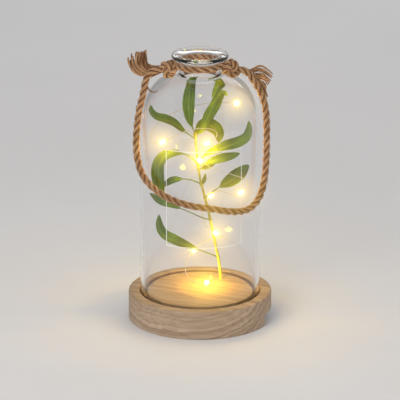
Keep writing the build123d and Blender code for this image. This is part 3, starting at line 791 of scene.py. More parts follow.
# %% One loose yarn
yarn_sides = 12
ply_count = 3
ply_height = 0.22  # how far plies stand out, as a share of the yarn's radius
ply_lay = 4.0 * MM  # length in which the plies turn by one radian
ply_crown = 1.1  # how far out a ply reaches, as a share of the yarn's radius
ply_shade = 0.3  # depth below that at which the painted shade is darkest
taper_places = (0.0, 0.75, 1.0)  # shares of the yarn's length
taper = (1.0, 0.95, 0.55)  # shares of its thickness there


def yarn(route, radius, seed, shade=0.0):
    """One loose yarn along a route, thinner at its tip; shade adds painted shade over the whole yarn."""
    line = smooth_line(route, steps=8)
    across, up = frames_along(line)
    along = travelled(line)
    thickness = radius * np.interp(along / along[-1], taper_places, taper)
    ply_turn = seed + along / ply_lay
    rings = tube_rings(line, across, up, thickness, yarn_sides, ply_count, ply_height, ply_turn)
    reach = np.linalg.norm(rings - line[:, None, :], axis=2) / thickness[:, None]
    # the last value is painted shade: deep between the plies, plus the yarn's own painted shade
    return rings, along / MM, False, np.clip((ply_crown - reach) / ply_shade + shade, 0.0, 1.0)


print(f"yarns of {ply_count} plies")

# %% Left tail
loose_curl = [
    (-30.0, -6.0, 216.5), (-37.0, -4.6, 213.0), (-43.5, -4.0, 209.5), (-44.6, -5.0, 205.0),
    (-42.4, -9.5, 201.8), (-39.6, -14.0, 200.6), (-37.2, -16.0, 201.2), (-35.0, -17.0, 203.0),
]
curl_radius = 0.65 * MM
curl_shade = 0.3


def settle_tail(name, tubes):
    """Makes a tail from its yarns and settles it on the bottle."""
    tail = settle(skin(f"{name}_yarns", tubes), jute, "bottle", "jute_rope", name)
    print(f"{name}: {len(tubes)} yarns, {len(tail.data.polygons)} faces")


def left_tail_yarns():
    """A thick brush that comes out behind the handle, dips and turns up, its yarns fanned side by side."""
    draw = random.Random(21)
    count = 15
    tubes = []
    for number in range(count):
        fan = number / (count - 1) * 2 - 1  # from -1 at the outer side to 1 at the inner side
        depth = draw.uniform(-3.0, 3.0)
        wander = [draw.uniform(-1.1, 1.1) for _ in range(4)]
        top = 231.0 + fan * 3.0 - 2.0 * fan**2 + draw.uniform(-4.0, 1.0)
        route = [
            (-29.0, -4.0 + depth * 0.3, 218.6 + fan * 1.2),
            (-37.0, -0.4 + depth * 0.5, 216.2 + fan * 2.2),
            (-43.5 + fan * 1.8, 1.5 + depth * 0.9, 214.6 + fan * 4.0 + wander[0]),
            (-49.0 + fan * 4.6, 2.4 + depth, 216.8 + fan * 4.4 + wander[1]),
            (-52.4 + fan * 6.6 + wander[2], 3.2 + depth, 224.0 + fan * 3.4),
            (-51.6 + fan * 6.8 + wander[3] * 1.6, 3.6 + depth, top),
        ]
        tubes.append(yarn(route, draw.uniform(1.0, 1.4) * MM, number, draw.uniform(-0.5, 0.45)))
    tubes.append(yarn(loose_curl, curl_radius, count, curl_shade))
    return tubes


settle_tail("left_tail", left_tail_yarns())

# %% Right tail
def arched_yarns(draw, count):
    """Single yarns that arch out from the knot, one below the other, and bend down at their tips."""
    tubes = []
    for number in range(count):
        fan = number / (count - 1)  # from 0 at the top to 1 at the bottom
        depth = draw.uniform(-2.5, 2.5)
        wander = [draw.uniform(-0.8, 0.8) for _ in range(5)]
        route = [
            (29.0, -4.0 + depth * 0.3, 219.0 - fan),
            (36.0, -2.0 + depth * 0.4, 217.3 - 2.2 * fan),
            (41.5 + 3.5 * fan, 0.0 + depth * 0.7, 214.5 - 6.5 * fan + wander[0]),
            (48.5 + 1.5 * fan + wander[1], 1.0 + depth, 219.4 - 12.5 * fan + wander[2]),
            (55.5 - 0.5 * fan + wander[3], 1.6 + depth, 216.0 - 12.0 * fan + wander[4]),
            (60.0 - 5.5 * fan**2, 2.0 + depth, 211.4 - 11.5 * fan + wander[0] * 1.2),
        ]
        tubes.append(yarn(route, draw.uniform(0.6, 0.85) * MM, number))
    return tubes


def hanging_yarns(draw, count):
    """Thicker yarns that hang down beside the handle."""
    tubes = []
    for number in range(count):
        fan = number / (count - 1) * 2 - 1  # from -1 to 1 across the bundle
        depth = draw.uniform(-1.2, 1.2)
        drop = draw.uniform(-4.0, 2.0)
        route = [
            (29.0, -5.0, 219.0 + fan),
            (38.5 + fan, -4.0 + depth, 217.0 + fan),
            (46.5 + fan * 1.6, -3.6 + depth, 209.0 + fan * 1.2),
            (51.5 + fan * 1.8, -3.2 + depth, 201.5 + fan * 1.2),
            (54.0 + fan * 1.8, -3.0 + depth * 1.5, 194.5 + drop),
        ]
        tubes.append(yarn(route, draw.uniform(0.9, 1.1) * MM, number + 30))
    return tubes


right_draw = random.Random(34)
right_tail_tubes = arched_yarns(right_draw, 9)
right_tail_tubes += hanging_yarns(right_draw, 7)
settle_tail("right_tail", right_tail_tubes)

# %% [markdown]
# ## Glass bottle
#
# The bottle is blown glass: one thin wall that runs from the foot in the groove, up over a round shoulder
# and a short neck, to a rolled lip. A wall of glass bends light at both of its faces, so the piece is a
# closed shell with a true inside. Its outline is drawn once and spun round the upright axis.

# %% Sizes of the wall
wall = 3.0 * MM
foot_round = 1.2 * MM
neck_radius = 17.0 * MM
neck_fillet = 2.5 * MM
neck_height = 212.0 * MM
shoulder_height = 168.0 * MM
lip_radius = 23.7 * MM
lip_thickness = 4.4 * MM
lip_flare = 3.4 * MM
mouth_flare = 6.5 * MM
edge_round = 1.5 * MM
edge_support = 0.3 * MM  # straight runs get points this near their ends, so that they shade straight
print(f"wall {wall / MM} mm, neck {neck_radius / MM} mm, lip {lip_radius / MM} mm in radius")

# %% Arcs and straight runs
def arc(middle, radii, start, sweep, steps):
    """Points of a circular or oval arc in the outline's plane, angles in degrees."""
    turns = [math.radians(start + sweep * step / steps) for step in range(steps + 1)]
    return [(middle[0] + radii[0] * math.cos(t), middle[1] + radii[1] * math.sin(t)) for t in turns]


def round_arc(middle, radius, start, sweep, steps):
    """Points of a circular arc."""
    return arc(middle, (radius, radius), start, sweep, steps)


def upright(radius, start, end):
    """Two points of a straight upright stretch, close to its ends."""
    support = math.copysign(edge_support, end - start)
    return [(radius, start + support), (radius, end - support)]


print("arcs and straight runs ready")

# %% Outline of the wall
foot_steps, fillet_steps, flare_steps, lip_steps, shoulder_steps = 5, 8, 12, 16, 48


def outer_outline():
    """The outside of the wall from the foot to the top of the lip, as (radius, height) points."""
    foot = glass_low.z + foot_round
    shoulder_r = neck_radius + neck_fillet
    shoulder = (glass_radius - shoulder_r, neck_height - shoulder_height)
    fillet_top = neck_height + neck_fillet
    rim_low = glass_high.z - lip_thickness
    rim_r = lip_radius - lip_thickness / 2
    flare = rim_low - lip_flare
    points = round_arc((glass_radius - foot_round, foot), foot_round, 270, 90, foot_steps)
    points += upright(glass_radius, foot, shoulder_height)
    points += arc((shoulder_r, shoulder_height), shoulder, 0, 90, shoulder_steps)
    points += round_arc((shoulder_r, fillet_top), neck_fillet, 270, -90, fillet_steps)
    points += upright(neck_radius, fillet_top, flare)
    points += round_arc((neck_radius + lip_flare, flare), lip_flare, 180, -90, flare_steps)
    points += round_arc((rim_r, rim_low + lip_thickness / 2), lip_thickness / 2, 270, 180, lip_steps)
    return points


def inner_outline():
    """The inside of the wall from the top of the lip down to the foot."""
    inner = glass_radius - wall
    bore = neck_radius - wall
    foot = glass_low.z + foot_round
    ceiling = neck_height - wall
    mouth_low = glass_high.z - mouth_flare
    bore_r = bore + edge_round
    shoulder = (inner - bore_r, ceiling - shoulder_height)
    points = round_arc((bore + mouth_flare, mouth_low), mouth_flare, 90, 90, lip_steps)
    points += upright(bore, mouth_low, ceiling + edge_round)
    points += round_arc((bore_r, ceiling + edge_round), edge_round, 180, 90, fillet_steps)
    points += arc((bore_r, shoulder_height), shoulder, 90, -90, shoulder_steps)
    points += upright(inner, shoulder_height, foot)
    points += round_arc((inner + foot_round, foot), foot_round, 180, 90, foot_steps)
    return points


outline = outer_outline() + inner_outline()
print(f"outline of {len(outline)} points")

# %% Spin the outline
spin_steps = 160


def pick_only(piece):
    """Selects one piece and makes it the active one."""
    bpy.ops.object.select_all(action="DESELECT")
    piece.select_set(True)
    bpy.context.view_layer.objects.active = piece


def spun(name, outline):
    """A closed ring of revolution from an outline of (radius, height) points."""
    mesh = bpy.data.meshes.new(name)
    count = len(outline)
    mesh.from_pydata([(r, 0.0, z) for r, z in outline], [(i, (i + 1) % count) for i in range(count)], [])
    piece = bpy.data.objects.new(name, mesh)
    scene.collection.objects.link(piece)
    pick_only(piece)
    bpy.ops.object.mode_set(mode="EDIT")
    bpy.ops.mesh.select_all(action="SELECT")
    bpy.ops.mesh.spin(steps=spin_steps, angle=2 * math.pi, center=(0, 0, 0), axis=(0, 0, 1))
    bpy.ops.mesh.select_all(action="SELECT")
    bpy.ops.mesh.remove_doubles(threshold=1e-6)
    bpy.ops.mesh.normals_make_consistent(inside=False)
    bpy.ops.object.mode_set(mode="OBJECT")
    bpy.ops.object.shade_smooth_by_angle(angle=math.radians(50))
    return piece


bottle = spun("bottle_glass", outline)
print(f"bottle: {len(bottle.data.polygons)} faces")

# %% [markdown]
# ## Glass finish
#
# Clear glass has almost no colour of its own. A see-through surface that bends nothing would look like
# film, so the shader bends light as glass does, with a faint ripple in its faces. Real glass lets light
# through to the sprig, so this one casts no shadow, which is quicker than following light through it.

# %% Glass finish
clear_glass, tree, shader = new_material("clear_glass")
ripple = noise(tree, object_coordinates(tree), 26.0, 1.0)
feed(tree, shader.inputs, {"Base Color": (0.966, 0.964, 0.966, 1.0), "Roughness": 0.0})
feed(tree, shader.inputs, {"IOR": 1.47, "Transmission Weight": 1.0})
add_bump(tree, shader, ripple, 0.05, 0.6 * MM)
settle(bottle, clear_glass, "bottle", "clear_glass", "glass_bottle")
bottle.visible_shadow = False
bottle.visible_diffuse = False
print("bottle settled")

# %% [markdown]
# ## Printed frame line
#
# A thin white line is printed on the front of the glass as a plain upright frame. It could be painted in
# the glass's material, but a piece of its own has sharp edges from near and far. It is a film of ink
# that follows the round wall, so each side is a narrow band laid on the glass.

# %% Bands of ink
frame_left, frame_right = math.radians(-33.6), math.radians(42.8)
frame_low, frame_high = 77.0 * MM, 160.0 * MM
line_width = 0.65 * MM
ink_gap = 0.04 * MM
ink_thickness = 0.03 * MM
level_steps = 40  # faces along a level band, which follows the round wall


def ink_band(turn_start, turn_end, low, high, steps):
    """Corner points of a band on the glass: two rows along a stretch of the wall."""
    rows = []
    reach = glass_radius + ink_gap
    for step in range(steps + 1):
        turn = turn_start + (turn_end - turn_start) * step / steps
        rows.append([(reach * math.sin(turn), -reach * math.cos(turn), height) for height in (low, high)])
    return rows


def frame_bands():
    """The level bands at the top and bottom, and the upright bands between them."""
    half = line_width / 2
    half_turn = half / glass_radius
    left, right = frame_left - half_turn, frame_right + half_turn
    bands = [ink_band(left, right, at - half, at + half, level_steps) for at in (frame_high, frame_low)]
    for turn in (frame_left, frame_right):
        bands.append(ink_band(turn - half_turn, turn + half_turn, frame_low + half, frame_high - half, 1))
    return bands


print(f"{len(frame_bands())} bands of ink, {line_width / MM} mm wide")

# %% Frame line
points, faces = [], []
for rows in frame_bands():
    first = len(points)
    points += [point for row in rows for point in row]
    for near in range(first, first + 2 * (len(rows) - 1), 2):
        faces.append((near, near + 2, near + 3, near + 1))
frame_mesh = bpy.data.meshes.new("printed_frame_line")
frame_mesh.from_pydata(points, [], faces)
frame_line = bpy.data.objects.new("printed_frame_line", frame_mesh)
scene.collection.objects.link(frame_line)
pick_only(frame_line)
film = frame_line.modifiers.new("ink_film", "SOLIDIFY")
film.thickness = ink_thickness
film.offset = 1.0
bpy.ops.object.modifier_apply(modifier="ink_film")
print(f"frame line: {len(frame_line.data.polygons)} faces")

# %% Ink finish
ink, tree, shader = new_material("white_ink")
cover = noise(tree, object_coordinates(tree), 900.0)
chalky = colour_ramp(tree, cover, [(0.3, (0.70, 0.70, 0.69)), (0.7, (0.84, 0.84, 0.83))])
feed(tree, shader.inputs, {"Base Color": chalky, "Roughness": 0.6})
settle(frame_line, ink, "bottle", "clear_glass")
frame_line.visible_shadow = False
print("frame line settled")

# %% [markdown]
# ## Sprig
#
# The sprig is an artificial twig: a thin plastic stem, and long pointed leaves that grow from it. A bent
# cylinder could be the stem, but it swells where the leaves grow. So it is a tube round a smooth line,
# with a radius that swells at each leaf's height, and the leaves' lines are listed first.

# %% Line of the stem
stem_route = [
    (17.8, 26.0, 17.0), (17.8, 26.0, 31.0), (14.0, 18.5, 53.0), (9.5, 11.0, 78.0), (4.5, 5.5, 102.0),
    (-0.5, 2.5, 122.0), (-2.8, 0.6, 143.0), (-4.2, 0.0, 163.0),
]
stem_line = smooth_line(stem_route, steps=24)
print(f"stem {travelled(stem_line)[-1] / MM:.1f} mm long")

# %% Lines of the leaves
# A leaf has its height on the stem, its width, the way that it faces, the share of its length that is
# stalk, and the points of its middle line. Lengths are in millimetres.
Leaf = namedtuple("Leaf", "height width facing stalk points")
leaves = [
    Leaf(
        156.0, 9.0, (0.2, -0.6, 0.8), 0.2,
        [
            (-14, -2, 164.5), (-21.5, -3, 171.5), (-29, -3.5, 175), (-36, -3.5, 177.5),
            (-39.5, -3, 181.5), (-40, -3, 186.5),
        ],
    ),
    Leaf(
        161.5, 10.0, (0, -1, 0.2), 0.12,
        [(-8, 2, 171), (-9.3, 3.5, 181), (-9, 5.5, 192), (-6.5, 7.5, 202), (-2, 9, 207.5)],
    ),
    Leaf(
        158.5, 9.5, (0.3, -0.9, 0.2), 0.08,
        [
            (1, -1, 163.5), (7, -0.5, 177), (12, 0, 186), (16, 0.5, 193), (19.5, 1.5, 196),
            (22.5, 2.5, 193.5),
        ],
    ),
    Leaf(
        160.0, 6.5, (0, -1, 0.2), 0.68,
        [(1, 6, 169), (7, 10, 181), (12, 11, 192), (16, 11, 198.5), (21, 10, 200)],
    ),
    Leaf(
        160.0, 12.0, (0.3, -0.8, 0.5), 0.04,
        [(0, 2, 165.5), (4, 2.5, 168.5), (10, 2, 167), (15, 1.2, 162), (15.8, 0, 153)],
    ),
    Leaf(
        136.0, 10.0, (-0.2, -0.7, 0.7), 0.12,
        [
            (4, 0.5, 142), (12, 0, 146.5), (22, 0, 150), (33, 1, 153.5), (39, 2, 157.5), (41, 3, 164),
            (40.5, 4, 171),
        ],
    ),
    Leaf(129.0, 5.0, (0, -0.8, 0.6), 0.14, [(5, 3, 131), (12.5, 2, 134)]),
    Leaf(
        134.0, 12.0, (-0.4, -0.7, 0.6), 0.22,
        [
            (-9, -1, 141.5), (-17.5, -3, 145), (-24, -4.5, 145), (-29.5, -6, 143), (-33.2, -7, 138),
            (-34.5, -8, 131), (-34.2, -9, 122.5), (-33, -9.5, 113), (-30.5, -10, 101.5),
        ],
    ),
    Leaf(
        103.0, 13.0, (-0.3, -0.7, 0.6), 0.35,
        [(9, 3, 108), (15, 2.5, 112.5), (20, 3, 115.5), (31, 3.5, 122.5), (41, 3, 132.5)],
    ),
    Leaf(
        82.0, 8.0, (0, -0.5, 0.85), 0.5,
        [(2.5, 6, 85), (-10, 2.5, 92), (-22, 0.5, 97.5), (-33, -1, 102), (-42, -2, 109.5)],
    ),
    Leaf(
        45.0, 9.5, (0.2, -0.7, 0.7), 0.3,
        [
            (0, 12, 54.5), (-12, 7, 61), (-22, 4, 66.5), (-29.5, 2, 71.5), (-33.5, 1, 78),
            (-34.5, 0, 90),
        ],
    ),
    Leaf(
        116.0, 6.0, (0, -0.8, 0.6), 0.48,
        [(-9, 1, 120.5), (-18, -1, 121.5), (-25, -2, 120), (-31, -3, 115.5)],
    ),
    Leaf(
        132.0, 8.0, (0, -0.75, 0.65), 0.2,
        [(5, -1, 135.5), (14, -2, 139), (25, -3, 142), (33, -4, 145)],
    ),
    Leaf(115.0, 3.2, (0, -0.9, 0.4), 0.1, [(3.2, 0.5, 119.5), (4.6, -0.5, 126)]),
]
print(f"{len(leaves)} leaves")

# %% Stem
stem_foot_radius = 1.2 * MM
stem_tip_radius = 0.75 * MM
stem_sides = 14
joint_swell = 0.42  # by which the stem is thicker where a leaf grows
joint_length = 1.3 * MM
stem_levels = (base_top, stem_route[-1][2] * MM)
stem_radius = np.interp(stem_line[:, 2], stem_levels, (stem_foot_radius, stem_tip_radius))
for leaf in leaves:
    off_joint = (stem_line[:, 2] - leaf.height * MM) / joint_length
    stem_radius *= 1.0 + joint_swell * np.exp(-(off_joint**2))
stem_rings = tube_rings(stem_line, *frames_along(stem_line), stem_radius, stem_sides)
stem = skin("sprig_stem", [(stem_rings, travelled(stem_line) / MM, False, 0.0)])
print(f"stem of {len(stem_line)} rings")

# %% Stem finish
stem_plastic, tree, shader = new_material("stem_plastic")
grain = noise(tree, mapped(tree, object_coordinates(tree), (1.0, 1.0, 0.15)), 900.0)
bark = colour_ramp(tree, grain, [(0.3, (0.16, 0.18, 0.025)), (0.7, (0.30, 0.31, 0.05))])
feed(tree, shader.inputs, {"Base Color": bark, "Roughness": 0.5, "Subsurface Weight": 0.2})
feed(tree, shader.inputs, {"Subsurface Radius": (0.0012, 0.0012, 0.0004)})
add_bump(tree, shader, grain, 0.4, 0.2 * MM)
settle(stem, stem_plastic, "base", "stem_plastic", "plant_stem")
print("stem settled")

# %% [markdown]
# ## Leaves
#
# The leaves are cut from thin fabric. Each could be modelled by hand, but leaves differ in bend and turn
# much more than in shape. So one flat leaf is the pattern, and each copy is laid along its own curved
# line, cupped at the midrib and a little wavy at the edge.

# %% Pattern leaf
leaf_rows, leaf_columns = 44, 10
bpy.ops.object.select_all(action="DESELECT")
bpy.ops.mesh.primitive_grid_add(x_subdivisions=leaf_rows, y_subdivisions=leaf_columns, size=1.0)
pattern = bpy.context.object
pattern_points = np.array([vertex.co for vertex in pattern.data.vertices], float)
pattern_share = pattern_points[:, 0] + 0.5  # from 0 at the stem to 1 at the tip
pattern_side = pattern_points[:, 1] * 2.0  # from -1 at one edge to 1 at the other
print(f"pattern leaf of {len(pattern_points)} points")

# %% A leaf's line
leaf_line_steps = 16


def stem_at(height):
    """The stem's middle at a height in millimetres."""
    return np.array([np.interp(height * MM, stem_line[:, 2], stem_line[:, axis]) for axis in range(3)])


def leaf_line(leaf):
    """A smooth line through a leaf's points, from inside the stem to the tip, in metres."""
    curve = bpy.data.curves.new("leaf_line", "CURVE")
    curve.dimensions = "3D"
    spline = curve.splines.new("BEZIER")
    spline.resolution_u = leaf_line_steps
    places = [stem_at(leaf.height)] + [np.array(point, float) * MM for point in leaf.points]
    spline.bezier_points.add(len(places) - 1)
    for knot, place in zip(spline.bezier_points, places):
        knot.co = place
        knot.handle_left_type = "AUTO"
        knot.handle_right_type = "AUTO"
    return curve_points(curve)


def at_shares(rows, along):
    """Rows of a line's values, read where the pattern leaf has its points."""
    places = pattern_share * along[-1]
    return np.stack([np.interp(places, along, rows[:, axis]) for axis in range(3)], axis=1)


print(f"first leaf {travelled(leaf_line(leaves[0]))[-1] / MM:.1f} mm long")

# %% Points of a leaf
stalk_half = 0.55 * MM
stalk_taper = 0.7  # share of its width that a stalk would lose by the tip
blade_fullness = 0.62  # below 1, a blade is broad early and late in its length
cup_height = 0.30  # by which the edges rise, as a share of half the width
cup_bend = 1.4
rib_drop = 0.12
edge_wave = 0.05


def leaf_places(leaf, seed):
    """Where the pattern leaf's points go: along its line, cupped at the midrib and waved at the edge."""
    draw = random.Random(seed)
    line = leaf_line(leaf)
    along = travelled(line)
    middle = at_shares(line, along)
    ahead = unit(at_shares(np.gradient(line, axis=0), along))
    across = unit(np.cross(ahead, np.array(leaf.facing, float)))
    up = np.cross(across, ahead)
    blade = np.clip((pattern_share - leaf.stalk) / (1.0 - leaf.stalk), 0.0, 1.0)
    half_blade = leaf.width * MM / 2 * np.abs(np.sin(math.pi * blade)) ** blade_fullness
    half = np.maximum(half_blade, stalk_half * (1.0 - stalk_taper * pattern_share))
    ripple = np.sin(pattern_share * draw.uniform(14, 20) + draw.uniform(0, 6)) * pattern_side**2
    cup = half * (cup_height * np.abs(pattern_side) ** cup_bend - rib_drop + edge_wave * ripple)
    return middle + across * (half * pattern_side)[:, None] + up * cup[:, None]


print(f"leaves from {min(leaf.width for leaf in leaves)} to {max(leaf.width for leaf in leaves)} mm wide")

# %% [markdown]
# ## Leaf finish
#
# The fabric is dyed mid green, with paler veins and darker streaks. A picture could be printed on it,
# but a pattern on the leaf's own UV map stays sharp: the distance from the midrib draws the rib, and
# slanting stripes draw the side veins. Thin fabric lets light in, so some is scattered below the
# surface.

# %% Leaf finish
vein_slant = 0.35  # by which side veins run towards the tip
vein_gap = 0.03  # half the distance between side veins, as a share of the leaf's length
vein_colour = (0.32, 0.40, 0.07, 1.0)


def leaf_veins(tree, flat):
    """White on the midrib and on slanting side veins, black between them."""
    on_leaf = axes(tree, flat)
    from_rib = calculate(tree, "ABSOLUTE", calculate(tree, "SUBTRACT", on_leaf["Y"], 0.5))
    slanted = calculate(tree, "MULTIPLY_ADD", from_rib, -vein_slant, on_leaf["X"])
    from_vein = calculate(tree, "PINGPONG", slanted, vein_gap)
    vein = colour_ramp(tree, from_vein, [(0.0, white), (0.012, black)])
    rib = colour_ramp(tree, from_rib, [(0.02, white), (0.06, black)])
    return mix(tree, "LIGHTEN", 0.45, rib, vein)


def leaf_finish():
    """Printed fabric: mid green with pale veins and darker streaks, matt, and thin enough to glow."""
    material, tree, shader = new_material("leaf_fabric")
    flat = add_node(tree, "ShaderNodeUVMap", uv_map="UVMap").outputs["UV"]
    veins = leaf_veins(tree, flat)
    patch = noise(tree, object_coordinates(tree), 60.0, 4.0)
    green = colour_ramp(
        tree,
        patch,
        [(0.32, (0.052, 0.106, 0.007)), (0.55, (0.130, 0.228, 0.012)), (0.75, (0.23, 0.36, 0.020))],
    )
    dyed = mix(tree, "MIX", calculate(tree, "MULTIPLY", veins, 0.5), green, vein_colour)
    streak = noise(tree, mapped(tree, flat, (1.8, 11.0, 1.0)), 1.0, 3.0)
    weave = colour_ramp(tree, streak, [(0.40, (0.46, 0.52, 0.44)), (0.60, white)])
    feed(tree, shader.inputs, {"Base Color": mix(tree, "MULTIPLY", 1.0, dyed, weave)})
    feed(tree, shader.inputs, {"Roughness": 0.55, "Specular IOR Level": 0.3})
    feed(tree, shader.inputs, {"Subsurface Weight": 0.35, "Subsurface Radius": (0.0015, 0.0022, 0.0006)})
    add_bump(tree, shader, veins, 0.35, 0.25 * MM)
    return material


leaf_fabric = leaf_finish()
print(f"finish {leaf_fabric.name}")

# %% Lay the leaves
leaf_thickness = 0.35 * MM


def lay_leaf(name, leaf, seed):
    """A copy of the pattern leaf, moved to its places and given its thickness."""
    mesh = pattern.data.copy()
    mesh.vertices.foreach_set("co", leaf_places(leaf, seed).astype(np.float32).ravel())
    piece = bpy.data.objects.new(name, mesh)
    scene.collection.objects.link(piece)
    pick_only(piece)
    film = piece.modifiers.new("film", "SOLIDIFY")
    film.thickness = leaf_thickness
    film.offset = 0.0
    bpy.ops.object.modifier_apply(modifier="film")
    bpy.ops.object.shade_smooth_by_angle(angle=math.radians(60))
    return piece


for number, leaf in enumerate(leaves, 1):
    blade = lay_leaf(f"sprig_leaf_{number:02d}", leaf, number)
    settle(blade, leaf_fabric, "base", "leaf_fabric", f"leaf_{number:02d}")
bpy.data.objects.remove(pattern)
print(f"{len(leaves)} leaves laid")

# %% [markdown]
# ## Wooden base
#
# The base is turned from one pale board. A picture of grain on its top would not go on over the rim, so
# one set of growth rings in space gives both, as in real wood. The rings lie round a line above the
# board and in front of it: the top shows long lines along the board, and the rim cuts the same rings at
# every slant. Painted shade darkens the turned groove, and a painted warm glow of the lamps lies on the
# wood inside it.

# %% Growth rings
grain_turn = math.radians(23.0)  # the board's length points right and a little to the front
grain_lean = 0.03  # radians by which the rings' line isn't level
ring_shift = (0.0, 0.075, -0.112)  # puts the rings' line 75 mm in front of the middle and 112 mm up
ring_wander = 0.012
ring_density = 300.0


def growth_rings(tree, place, long_grain):
    """Pale and darker wood in uneven rings round a line along the board."""
    from_line = mapped(tree, place, turn=(0.0, grain_lean, grain_turn), shift=ring_shift)
    ring_radius = scaled_length(tree, from_line, (0.0, 1.0, 1.0))
    uneven = calculate(tree, "MULTIPLY_ADD", noise(tree, long_grain, 9.0, 3.0), ring_wander, ring_radius)
    rings = add_node(tree, "ShaderNodeTexNoise", noise_dimensions="1D")
    feed(tree, rings.inputs, {"W": uneven, "Scale": ring_density, "Detail": 2.5, "Roughness": 0.6})
    return colour_ramp(
        tree,
        rings.outputs["Fac"],
        [(0.28, (0.51, 0.395, 0.295)), (0.50, (0.44, 0.335, 0.24)), (0.68, (0.325, 0.235, 0.16))],
    )


print(f"grain turned by {math.degrees(grain_turn):.0f} degrees")

# %% Turned groove
groove_depth = base_top - glass_low.z  # the glass stands on the groove's floor
groove_limits = (40.0 * MM, 55.0 * MM)  # distances from the axis between which the painted light changes
# painted light: the wood inside the groove is tinted as if lit warm by the lamps
painted_lamp_glow = (1.0, 0.97, 0.82)
# painted shade in the groove, where the glass foot stands
painted_groove_shade = (0.34, 0.24, 0.15)


def painted_glow_and_groove_shade(tree, place):
    """Painted light on the turned top: a painted warm glow of the lamps inside the groove, painted shade in
    it, and none outside it.
    """
    from_axis = scaled_length(tree, place, (1.0, 1.0, 0.0))
    outwards = share_between(tree, from_axis, *groove_limits)
    stops = [(0.27, painted_lamp_glow), (0.30, painted_groove_shade), (0.71, painted_groove_shade), (0.74, white)]
    return colour_ramp(tree, outwards, stops)


print(f"groove {groove_depth / MM:.1f} mm deep")

# %% Wood finish
def wood_finish():
    """Pale softwood: growth rings, fine pores along the grain, and on the top painted shade in the groove
    with a painted warm lamp glow inside it.
    """
    material, tree, shader = new_material("pale_wood")
    place = object_coordinates(tree)
    along_board = (0.0, 0.0, grain_turn)
    long_grain = mapped(tree, place, (1.0, 6.0, 6.0), along_board)
    fine = noise(tree, mapped(tree, place, (22.0, 420.0, 420.0), along_board), 1.0, 3.0)
    pores = colour_ramp(tree, fine, [(0.35, (0.80, 0.76, 0.72)), (0.6, white)])
    drift = colour_ramp(tree, noise(tree, long_grain, 5.0, 2.0), [(0.3, (0.86, 0.84, 0.82)), (0.7, white)])
    wood = mix(tree, "MULTIPLY", 0.8, growth_rings(tree, place, long_grain), pores)
    wood = mix(tree, "MULTIPLY", 1.0, wood, drift)
    groove_floor = base_top - groove_depth
    # the painted light and shade are kept to the top, so the underside shows none
    on_top = calculate(tree, "GREATER_THAN", axes(tree, place)["Z"], groove_floor - 1.0 * MM)
    wood = mix(tree, "MULTIPLY", on_top, wood, painted_glow_and_groove_shade(tree, place))
    feed(tree, shader.inputs, {"Base Color": wood, "Roughness": 0.62, "Specular IOR Level": 0.3})
    add_bump(tree, shader, fine, 0.25, 0.3 * MM)
    return material


dress(wood_finish(), "wooden_base")
print("wood finished")

# %% [markdown]
# ## Battery case, switch and wiring
#
# Under the base sit a battery case with a sliding cover, three cells, a slide switch and the wires.
# They are seen from below or when the cover slides out, so they keep their solids and get finishes:
# moulded plastic, bright metal, printed cell jackets and soft wire insulation.

# %% Plain finishes of the hidden works
def speckled(name, dark, light, scale, roughness, metallic=0.0, bump=0.2):
    """A finish of two near colours in a fine grain, with a little bump: plastic, metal or rubber."""
    material, tree, shader = new_material(name)
    grain = noise(tree, object_coordinates(tree), scale)
    tone = colour_ramp(tree, grain, [(0.35, dark), (0.65, light)])
    feed(tree, shader.inputs, {"Base Color": tone, "Roughness": roughness, "Metallic": metallic})
    add_bump(tree, shader, grain, bump, 0.1 * MM)
    return material


black_plastic = speckled("black_plastic", (0.012, 0.012, 0.013), (0.022, 0.022, 0.023), 1500.0, 0.5)
bright_steel = speckled("bright_steel", (0.52, 0.52, 0.51), (0.68, 0.68, 0.66), 800.0, 0.28, 1.0, 0.1)
red_insulation = speckled("red_insulation", (0.42, 0.016, 0.014), (0.52, 0.026, 0.020), 500.0, 0.45)
black_insulation = speckled("black_insulation", (0.010, 0.010, 0.010), (0.020, 0.020, 0.020), 500.0, 0.45)
resistor_body = speckled("resistor_body", (0.42, 0.30, 0.17), (0.52, 0.38, 0.22), 900.0, 0.5)
steel_pieces = ["battery_springs", "contact_plates", "switch_housing", "switch_terminals", "case_screws"]
dress(black_plastic, "battery_case", "battery_cover", "switch_slider")
dress(bright_steel, *steel_pieces)
dress(red_insulation, "red_lead")
dress(black_insulation, "black_lead", "splice_sleeve")
dress(resistor_body, "resistor")
print("case, switch and wiring finished")

# %% [markdown]
# ## Cell jackets
#
# The three cells wear a dark sleeve with one bright band, and bare metal shows at their ends. Separate
# rings of mesh could show that, but a stepped ramp along the cell's length gives the same sharp edges on
# the solid as it is.

# %% Cell jackets
steel = (0.62, 0.62, 0.60)
sleeve = (0.035, 0.045, 0.055)
gold = (0.50, 0.36, 0.12)
sleeve_shine = (0.2, 0.2, 0.2)


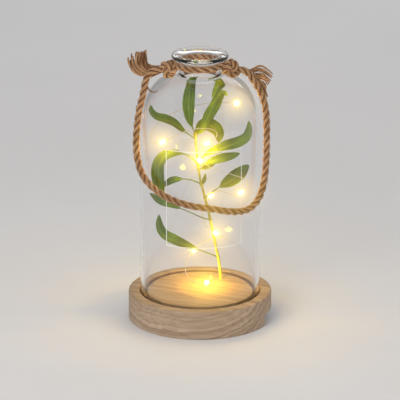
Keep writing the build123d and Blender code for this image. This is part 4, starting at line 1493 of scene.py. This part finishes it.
def cell_finish():
    """A cell's jacket: a dark sleeve with a bright band, and bare metal at both ends."""
    material, tree, shader = new_material("cell_jacket")
    place = object_coordinates(tree)
    low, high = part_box("battery_cell_1")
    share = share_between(tree, axes(tree, place)["X"], low.x, high.x)
    bands = [(0.0, steel), (0.05, sleeve), (0.34, gold), (0.42, sleeve), (0.95, steel)]
    jacket = colour_ramp(tree, share, bands, stepped=True)
    metal = colour_ramp(tree, share, [(0.0, white), (0.05, sleeve_shine), (0.95, white)], stepped=True)
    feed(tree, shader.inputs, {"Base Color": jacket, "Metallic": metal, "Roughness": 0.32})
    add_bump(tree, shader, noise(tree, place, 300.0), 0.08, 0.1 * MM)
    return material


cell_count = 3
cells = [f"battery_cell_{number}" for number in range(1, cell_count + 1)]
dress(cell_finish(), *cells)
print(f"{cell_count} cells finished")

# %% [markdown]
# ## Glow
#
# Small bright lamps look larger than they are, because a lens spreads their light. In the compositor a
# bloom gives the near halo, and a wide soft blur of the same bright spots, tinted warm, gives the far one.

# %% Near halo
scene.use_nodes = True
compositor = scene.node_tree
compositor.nodes.clear()
picture = add_node(compositor, "CompositorNodeRLayers").outputs["Image"]
bloom = add_node(compositor, "CompositorNodeGlare", glare_type="BLOOM")
feed(compositor, bloom.inputs, {"Image": picture, "Threshold": 1.2, "Strength": 1.35, "Size": 0.55})
feed(compositor, bloom.inputs, {"Tint": (1.0, 0.93, 0.60, 1.0)})
print("near halo")

# %% Far halo
halo_reach = 0.08  # share of the picture's width
halo_tint = (0.70, 0.64, 0.21, 1.0)
reach = add_node(compositor, "CompositorNodeRelativeToPixel", data_type="FLOAT", reference_dimension="X")
feed(compositor, reach.inputs, {"Image": picture, 1: halo_reach})
haze = add_node(compositor, "CompositorNodeBlur", filter_type="GAUSS")
feed(compositor, haze.inputs, {"Image": bloom.outputs["Highlights"], "Size": reach.outputs[0]})
tinted = add_node(compositor, "CompositorNodeMixRGB", blend_type="MULTIPLY")
feed(compositor, tinted.inputs, {1: haze.outputs["Image"], 2: halo_tint})
lit = add_node(compositor, "CompositorNodeMixRGB", blend_type="ADD")
feed(compositor, lit.inputs, {1: bloom.outputs["Image"], 2: tinted.outputs["Image"]})
result = add_node(compositor, "CompositorNodeComposite")
feed(compositor, result.inputs, {"Image": lit.outputs["Image"]})
print(f"far halo over {halo_reach:.0%} of the picture's width")
